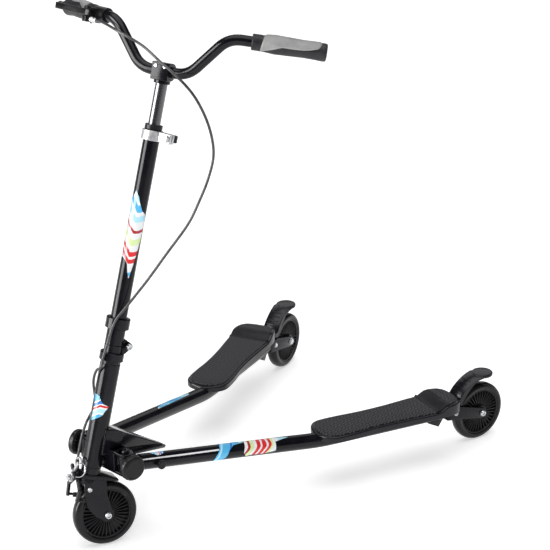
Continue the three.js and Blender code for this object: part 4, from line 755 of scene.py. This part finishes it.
white, red, wine = (0.88, 0.89, 0.9), (0.72, 0.025, 0.03), (0.45, 0.03, 0.04)
blue, cyan, pale, lime = (0.03, 0.2, 0.62), (0.1, 0.5, 0.85), (0.45, 0.8, 0.95), (0.72, 0.88, 0.42)
column_print = print_of("column_print", [
    (0, blue), (0.06, white), (0.1, cyan), (0.15, white), (0.25, red), (0.3, white), (0.33, red), (0.39, white),
    (0.46, lime), (0.53, white), (0.59, wine), (0.63, white), (0.72, pale), (0.79, white), (0.84, cyan), (0.92, white),
    (0.96, pale)], 0.12, -0.2)
column_shape = [
    (-13, 620), (-11, 625), (-7, 620), (-2.9, 614.6), (0.8, 604), (7.1, 590.7), (16.8, 582.7), (20, 566.7),
    (16.5, 542.8), (12.7, 513.6), (8.4, 487), (4.6, 463.6), (1, 474), (-2.9, 491), (-10, 499), (-17.6, 501.6),
    (-21, 520), (-22.5, 560), (-22, 600)]
film("column_flash", column_shape, steer, column_radius, -23.5, column_print, "column", 1.8)
head_print = print_of("head_print", [
    (0, white), (0.1, cyan), (0.24, white), (0.3, pale), (0.44, white), (0.5, red), (0.58, white), (0.62, blue),
    (0.74, white), (0.8, cyan)], -0.2, 0.24)
head_shape = [
    (-20.8, 241), (-8.9, 239), (-4, 230), (2, 225), (13, 221.7), (7, 213), (3, 204), (-3, 199), (-18.8, 189),
    (-18.6, 205), (-17.8, 222)]
film("head_flash", head_shape, head, head_radius, -43.6, head_print, "frame", 1.8)

# Arms: each has a steel knuckle on its pivot bolt, a steel tube over the knuckle's spigot, a nylon clamp knob and a
# pull pin. The tube is bent once under the board, with a bridge, a gusset and two cheeks welded at its rear end.
arm_radius, arm_high, arm_in = 15.4, 171, 3
arm_spread = {"left": 10.3, "right": 16.7}
bend_back, bend_high = 442, 94.1
axle_aside, axle_back, fender_pin = 25, 831, (758, 81)
arm_slope = math.atan2(arm_high - bend_high, bend_back) / degree
arm_print = print_of("arm_print", [
    (0, white), (0.06, wine), (0.13, white), (0.19, wine), (0.25, lime), (0.32, white), (0.38, red), (0.46, white),
    (0.5, red), (0.58, white), (0.62, red), (0.68, lime), (0.73, white), (0.85, pale)], 0.16, 0.1)
swoosh_print = print_of("swoosh_print", [
    (0, white), (0.1, cyan), (0.34, pale), (0.4, cyan), (0.62, blue), (0.68, cyan), (0.88, pale)], 0.3, 0)
stripe_print = print_of("stripe_print", [(0, (0.8, 0.81, 0.82)), (0.5, white)], 0, 0)
swoosh = [(22, 186), (21, 205), (12, 214), (0, 220), (-10, 232), (-17, 262), (-23, 262), (-23, 205), (-14, 202),
          (-4, 198), (8, 190)]
panel = [(17, 262), (14, 268), (15, 300), (11, 330), (-7, 330), (-12, 352), (-15, 366), (-18, 340), (-21, 300),
         (-19, 262), (-4, 256), (8, 254)]
stripe = [(-2, 24), (-2, 120), (-2.8, 197), (-6, 197), (-5.2, 120), (-4.6, 24)]
chip = [(-21, 48), (-14, 52), (-9, 60), (-9, 68), (-13, 76), (-21, 78)]
flash = [(-9, 246), (-4, 250), (4, 300), (6, 320), (-1, 375), (-6, 372), (-8, 320)]
arm_films = {
    "left": (("arm_swoosh", swoosh, -26, swoosh_print, 1.8), ("arm_panel", panel, -26, arm_print, 1.8),
             ("arm_pinstripe", stripe, -26, stripe_print, 0), ("arm_chip", chip, -26, head_print, 2.2)),
    "right": (("far_arm_flash", flash, -82, swoosh_print, 1.8),)}
knob_line = [
    (0, 14.6), (10, 14.5), (17, 13.9), (17.8, 13.2), (18.4, 13.2), (19.2, 13.7), (21, 13.2), (23, 11.6), (24, 8.5),
    (24, 3), (21.5, 0), (9, 0), (8, -2), (4, -2), (4, -9), (0, -9)]
pull_line = [
    (0, -11), (7.2, -11), (8.4, -10.2), (8.7, -9), (8.7, -5.8), (7.6, -4.6), (6, -4), (6, -0.4), (0, -0.4)]
arm_bends = [Vector((arm_in, 26.3, arm_high - 26.3 * math.tan(arm_slope * degree))),
             Vector((arm_in, bend_back, bend_high)), Vector((22, 738, 82.1))]
cheek = [(737, 70), *arc_points((axle_back, wheel_radius), 11, -100, 80, 14), (769, 93), (737, 93)]
gusset = [(700, 67), (728, 52), (741, 70), (741, 84), (700, 84)]
arm_places = {}
for side, tag in sides:
    swing = turned_by(-side * arm_spread[tag], "Z")
    arm = scooter @ moved(side * pivot_aside, pivot_back, 0) @ swing @ Matrix.Scale(side, 4, (1, 0, 0))
    arm_places[tag] = arm
    sloped = arm @ moved(arm_in, 0, arm_high) @ turned_by(-arm_slope, "X")
    knuckle = joined(
        (rod(15, 32.9, 0.8, 48), arm @ moved(0, 0, 154.3)), (block(28.6, 24, 25.6, 2.2), sloped @ moved(0, 13, 0)),
        (rod(12.8, 80), sloped @ moved(0, 20, 0) @ rearward))
    fitted(knuckle, f"knuckle_{tag}", paint_finish, "black_paint", f"arm_{tag}", f"arm_knuckle_{tag}")

    knob_place = arm @ moved(18, 0, arm_high) @ turned_by(90, "Y")
    knob = joined((spun(knob_line, 72), knob_place))
    ribs_around(knob, 20, (1.6, 3, 7.5, 0.5, 1), knob_place, 23.6, 5.6)
    ribs_around(knob, 20, (12, 1.6, 2.4, 0.5, 1), knob_place, 15, -0.6)
    fitted(knob, f"clamp_knob_{tag}", hub_finish, "black_plastic", f"knob_{tag}", f"arm_knob_{tag}")

    pull_place = arm @ moved(18.4, 62, arm_high - 62 * math.tan(arm_slope * degree)) @ turned_by(-90, "Y")
    pull = joined((rod(3, 13, 0.3, 24), pull_place @ moved(0, 0, -4)), (spun(pull_line, round_steps, 0.3), pull_place))
    ribs_around(pull, 14, (0.9, 1.5, 4, 0.3, 1), pull_place, 8.6, -7.5)
    fitted(pull, f"pull_pin_{tag}", hub_finish, "black_plastic", f"lock_{tag}", f"lock_pin_{tag}")

    tube_piece = joined(
        (tube_along(rounded_corners(arm_bends, 30, 6), arm_radius, 48), arm),
        (block(38, 8, 24, 0.8), arm @ moved(axle_aside, 741, 82.1)),
        *[side_plate(cheek, cheek_thick, axle_aside + aside, arm) for aside in cheek_sides],
        side_plate(gusset, 10, 17, arm, 1.0))
    fitted(tube_piece, f"arm_{tag}_tube", paint_finish, "black_paint", f"arm_{tag}", f"arm_tube_{tag}")

    lengthwise = sloped @ rearward
    for name, outline, facing, finish, rim in arm_films[tag]:
        film(name, outline, lengthwise, arm_radius, facing, finish, f"arm_{tag}", rim)

    # The rear wheel is on its axle bolt between the cheeks, with the fender's bolt in front of it.
    rear_axle = arm @ moved(axle_aside, axle_back, wheel_radius)
    hung_wheel(f"rear_{tag}", f"wheel_{tag}", rear_axle)
    fitted_bolt(f"rear_bolt_{tag}", rear_axle, *axle_bolt, f"arm_{tag}", f"rear_axle_{tag}")
    fender_bolt = arm @ moved(axle_aside, *fender_pin)
    fitted_bolt(f"fender_bolt_{tag}", fender_bolt, 3, *cross_bolt, f"arm_{tag}", f"fender_pin_{tag}")

# Footboards: moulded nylon trays over the arm tubes, waisted, with a round nose and a raised heel. A keel under each
# sits on the tube.
board_finish = finish_of("board_nylon", (0.006, 0.006, 0.009), (0.011, 0.011, 0.015), 30, 650, 0.08, 0.24, shine=0.3)
board_length, board_cuts = 330, 42
sole = [(0, 0), (22, 4), (35, 12), (43, 24), (45.5, 40), (45, 72), (42, 112), (41.5, 150), (43, 190), (46, 228),
        (47.9, 264), (46.4, 292), (41, 311), (30, 323), (15, 328.6), (0, 330)]


def board_outline(inset, steps=5):
    half = [Vector((x * (1 - inset / 48), inset + y * (1 - 2 * inset / board_length))) for x, y in sole]
    ring = half + [Vector((-point.x, point.y)) for point in reversed(half[1:-1])]
    points = []
    for i in range(len(ring)):
        a, b, c, d = (ring[(i + k) % len(ring)] for k in (-1, 0, 1, 2))
        for j in range(steps):
            t = j / steps
            curve = 2 * b + (c - a) * t + (2 * a - 5 * b + 4 * c - d) * t * t + (3 * b - a - 3 * c + d) * t ** 3
            points.append(tuple(0.5 * curve))
    return points


def eased(share):
    share = min(1, max(0, share))
    return share * share * (3 - 2 * share)


def board_top(back):
    heel = 11 * eased((back - 260) / 28)
    return heel - 5 * max(0, (back - 308) / 22) ** 2 - 2.5 * max(0, 1 - back / 8) ** 2


def board_shape(inset, low_of, high_of, reach):
    bm = plate(board_outline(inset), 1)
    sliced(bm, Vector((0, 1, 0)), 0, board_length, board_cuts)
    for vert in bm.verts:
        vert.co.z = high_of(vert.co.y) if vert.co.z > 0.5 else low_of(vert.co.y)
    rims = [edge for edge in sharp_edges(bm, 0.9) if all(abs(v.co.z - high_of(v.co.y)) < 0.01 for v in edge.verts)]
    return bevelled(bm, rims, reach, 4)


board_places = {tag: arm_places[tag] @ moved(3.6, 428, 116) @ turned_by(-6.8, "Z") for side, tag in sides}
keel_turn = math.atan2(22 - arm_in, 737 - bend_back) / degree
for side, tag in sides:
    keel_place = arm_places[tag] @ moved(arm_in, bend_back, 104) @ turned_by(-keel_turn, "Z") @ moved(0, 150, -5.2)
    board = board_shape(0, lambda back: -12, board_top, 3.2)
    tray = joined((board, board_places[tag]), (block(18, 240, 20.4, 1.5), keel_place))
    fitted(tray, f"board_{tag}", board_finish, "black_plastic", f"arm_{tag}", f"footboard_{tag}")

# Tread pads: soft rubber glued in the trays, with a moulded herringbone of short waves. Their raised dashes are
# painted a lighter grey than the rubber, a painted highlight on the dash tops. The slope up to the heel is left
# smooth.
tread_finish = finish_of("tread_rubber", (0.009, 0.009, 0.011), (0.015, 0.015, 0.018), 60, 900, 0.2, 0.42, shine=0.18)
waves_per_metre, rows_per_metre = 62, 128
tread_tree = tread_finish.node_tree


def tread_math(operation, *values):
    return node_math(tread_tree, operation, *values)


across, back = map_parts(tread_tree, "tread")
zigzag = tread_math("PINGPONG", tread_math("MULTIPLY", across, waves_per_metre), 0.5)
lanes = tread_math("ADD", tread_math("MULTIPLY", back, rows_per_metre), tread_math("MULTIPLY", zigzag, 2.2))
ridge = tread_math("PINGPONG", tread_math("FRACT", lanes), 0.5)
staggered = tread_math("ADD", tread_math("MULTIPLY", across, 2 * waves_per_metre), tread_math("MULTIPLY", back, 41))
breaks = tread_math("PINGPONG", staggered, 0.5)
dashes = tread_math("MULTIPLY", tread_math("GREATER_THAN", ridge, 0.25), tread_math("GREATER_THAN", breaks, 0.13))
off_slope = tread_math("MAXIMUM", tread_math("LESS_THAN", back, 0.258), tread_math("GREATER_THAN", back, 0.29))
dash_relief_and_highlight = tread_math("MULTIPLY", dashes, off_slope)
# The raised dashes are mixed to a lighter grey, a painted highlight on their tops; the rubber is one colour
# throughout.
tint = tread_tree.nodes.new("ShaderNodeMix")
tint.data_type = "RGBA"
tint.inputs["B"].default_value = (0.062, 0.062, 0.07, 1)
tread_tree.links.new(dash_relief_and_highlight, tint.inputs["Factor"])
tread_tree.links.new(tread_tree.nodes["Color Ramp"].outputs["Color"], tint.inputs["A"])
tread_tree.links.new(tint.outputs["Result"], tread_tree.nodes["Principled BSDF"].inputs["Base Color"])
bump = tread_tree.nodes["Bump"]
bump.inputs["Strength"].default_value = 1
bump.inputs["Distance"].default_value = 0.0012
tread_tree.links.new(dash_relief_and_highlight, bump.inputs["Height"])
for side, tag in sides:
    sheet = board_shape(6, lambda back: board_top(back) - 0.5, lambda back: board_top(back) + 2.2, 1.2)
    flat = sheet.loops.layers.uv.new("tread")
    for face in sheet.faces:
        for loop in face.loops:
            loop[flat].uv = (loop.vert.co.x / 1000, loop.vert.co.y / 1000)
    tread = joined((sheet, board_places[tag]))
    fitted(tread, f"tread_{tag}", tread_finish, "black_rubber", f"arm_{tag}", f"foot_grip_{tag}")


# Fender brakes: black nylon pedals on the cross bolt, curved over the wheel, with a flange down each side, ribs
# across and a round pad at the end. Pressed down, the pedal rubs on the tyre.
def pedal_place(share, aside, wide, deep):
    angle = (164 - 72 * share) * degree
    run = Vector((0, math.sin(angle), -math.cos(angle)))
    out = Vector((0, math.cos(angle), math.sin(angle)))
    centre = Vector((aside, axle_back, wheel_radius))
    return framed(Vector((wide, 0, 0)), out * deep, run, centre + out * (73.5 + 8 * share))


pedal_section = [(-1, -0.4), (-0.8272, -1), (0.8272, -1), (1, -0.4), (1, 0.4), (0.8272, 1), (-0.8272, 1), (-1, 0.4)]
flange_section = [(-0.7, -1), (0.7, -1), (0.7, 0.1), (-0.7, 0.1)]
flange_end = 0.84
for side, tag in sides:
    arm = arm_places[tag]
    places = []
    for i in range(41):
        share = i / 40
        wide = 14 + 5 * eased((share - 0.2) / 0.1) + 3 * max(0, (share - 0.6) / 0.4) ** 1.5
        places.append(pedal_place(share, axle_aside, wide, 3.5))
    pedal = joined(
        (drawn(pedal_section, places), arm), (rod(8, 28, 1.0), arm @ moved(11, *fender_pin) @ turned_by(90, "Y")),
        (rod(22, 7, 2.4, 64), arm @ moved(axle_aside, 842, 140.5)))
    for edge in (-1, 1):
        walls = []
        for i in range(31):
            share = flange_end * i / 30
            spread = min(1, max(0, (share - 0.24) / 0.14))
            deep = 2 + (13 - 3 * spread) * math.sqrt(max(0, 1 - (share / flange_end) ** 2))
            walls.append(pedal_place(share, axle_aside + edge * (13.4 + 3.4 * spread), 1, deep))
        lay_in(pedal, drawn(flange_section, walls), arm)
    for i in range(7):
        angle, radius = 156 - 7.4 * i, 78 + 0.8 * i
        out = radius * Vector((0, math.cos(angle * degree), math.sin(angle * degree)))
        rib_place = arm @ moved(axle_aside, axle_back + out.y, wheel_radius + out.z) @ turned_by(angle - 90, "X")
        lay_in(pedal, block(25, 2.2, 2.4, 0.6, 2), rib_place)
    fitted(pedal, f"fender_{tag}_pedal", board_finish, "black_plastic", f"fender_{tag}", f"fender_brake_{tag}")

# Bearings: polished steel rings pressed in the hubs with a spacer between them. They hardly show, and are left as
# the solids they are.
for node in ("front_wheel_bearings", "rear_left_wheel_bearings", "rear_right_wheel_bearings"):
    frame["nodes"][node].material_slots[0].material = zinc_finish

# Floor: a plain pale sheet of paper, lit a little from within so that it stays white and still takes soft shadows.
floor_mesh = bmesh.new()
bmesh.ops.create_grid(floor_mesh, x_segments=1, y_segments=1, size=15)
floor_data = bpy.data.meshes.new("floor")
floor_mesh.to_mesh(floor_data)
floor_mesh.free()
floor = bpy.data.objects.new("floor", floor_data)
scene.collection.objects.link(floor)
floor_finish = finish_of("floor_paper", (0.9, 0.9, 0.9), (0.93, 0.93, 0.93), 0.6, 80, 0.02, 0.7)
floor_shader = floor_finish.node_tree.nodes["Principled BSDF"]
floor_shader.inputs["Emission Color"].default_value = (1, 1, 1, 1)
floor_shader.inputs["Emission Strength"].default_value = 0.5
floor_data.materials.append(floor_finish)

# Light: a wide soft sky and an overhead panel, with tall soft panels in front on the left, at the side and behind.
# The left panel shows in the gloss only, and the fill in the dull surfaces only.
scene.view_settings.view_transform = "Standard"
studio = bpy.data.worlds.new("studio")
scene.world = studio
studio.use_nodes = True
sky = studio.node_tree.nodes["Background"].inputs
sky["Color"].default_value = (0.9, 0.93, 1, 1)
sky["Strength"].default_value = 0.06


def soft_panel(name, azimuth, high, away, wide, tall, power):
    light = bpy.data.lights.new(name, "AREA")
    light.shape = "RECTANGLE"
    light.size, light.size_y, light.energy = wide, tall, power
    panel = bpy.data.objects.new(name, light)
    panel.location = (away * math.sin(azimuth * degree), -away * math.cos(azimuth * degree), high)
    panel.rotation_euler = (Vector((0, 0, 0.4)) - panel.location).to_track_quat("-Z", "Y").to_euler()
    scene.collection.objects.link(panel)
    return panel


soft_panel("overhead", 0, 4.0, 0.1, 3.5, 3.5, 50)
soft_panel("left_panel", -24, 1.6, 4.2, 2.8, 3.6, 420).visible_diffuse = False
soft_panel("right_panel", 150, 1.6, 4.5, 0.8, 3.2, 14)
soft_panel("back_panel", 225, 2.6, 4.5, 5, 2.4, 30)
soft_panel("fill", 28, 1.2, 4, 2, 2, 70).visible_glossy = False
dome = bpy.data.lights.new("dome", "SUN")
dome.energy = 1.12
dome.angle = 70 * degree
scene.collection.objects.link(bpy.data.objects.new("dome", dome))
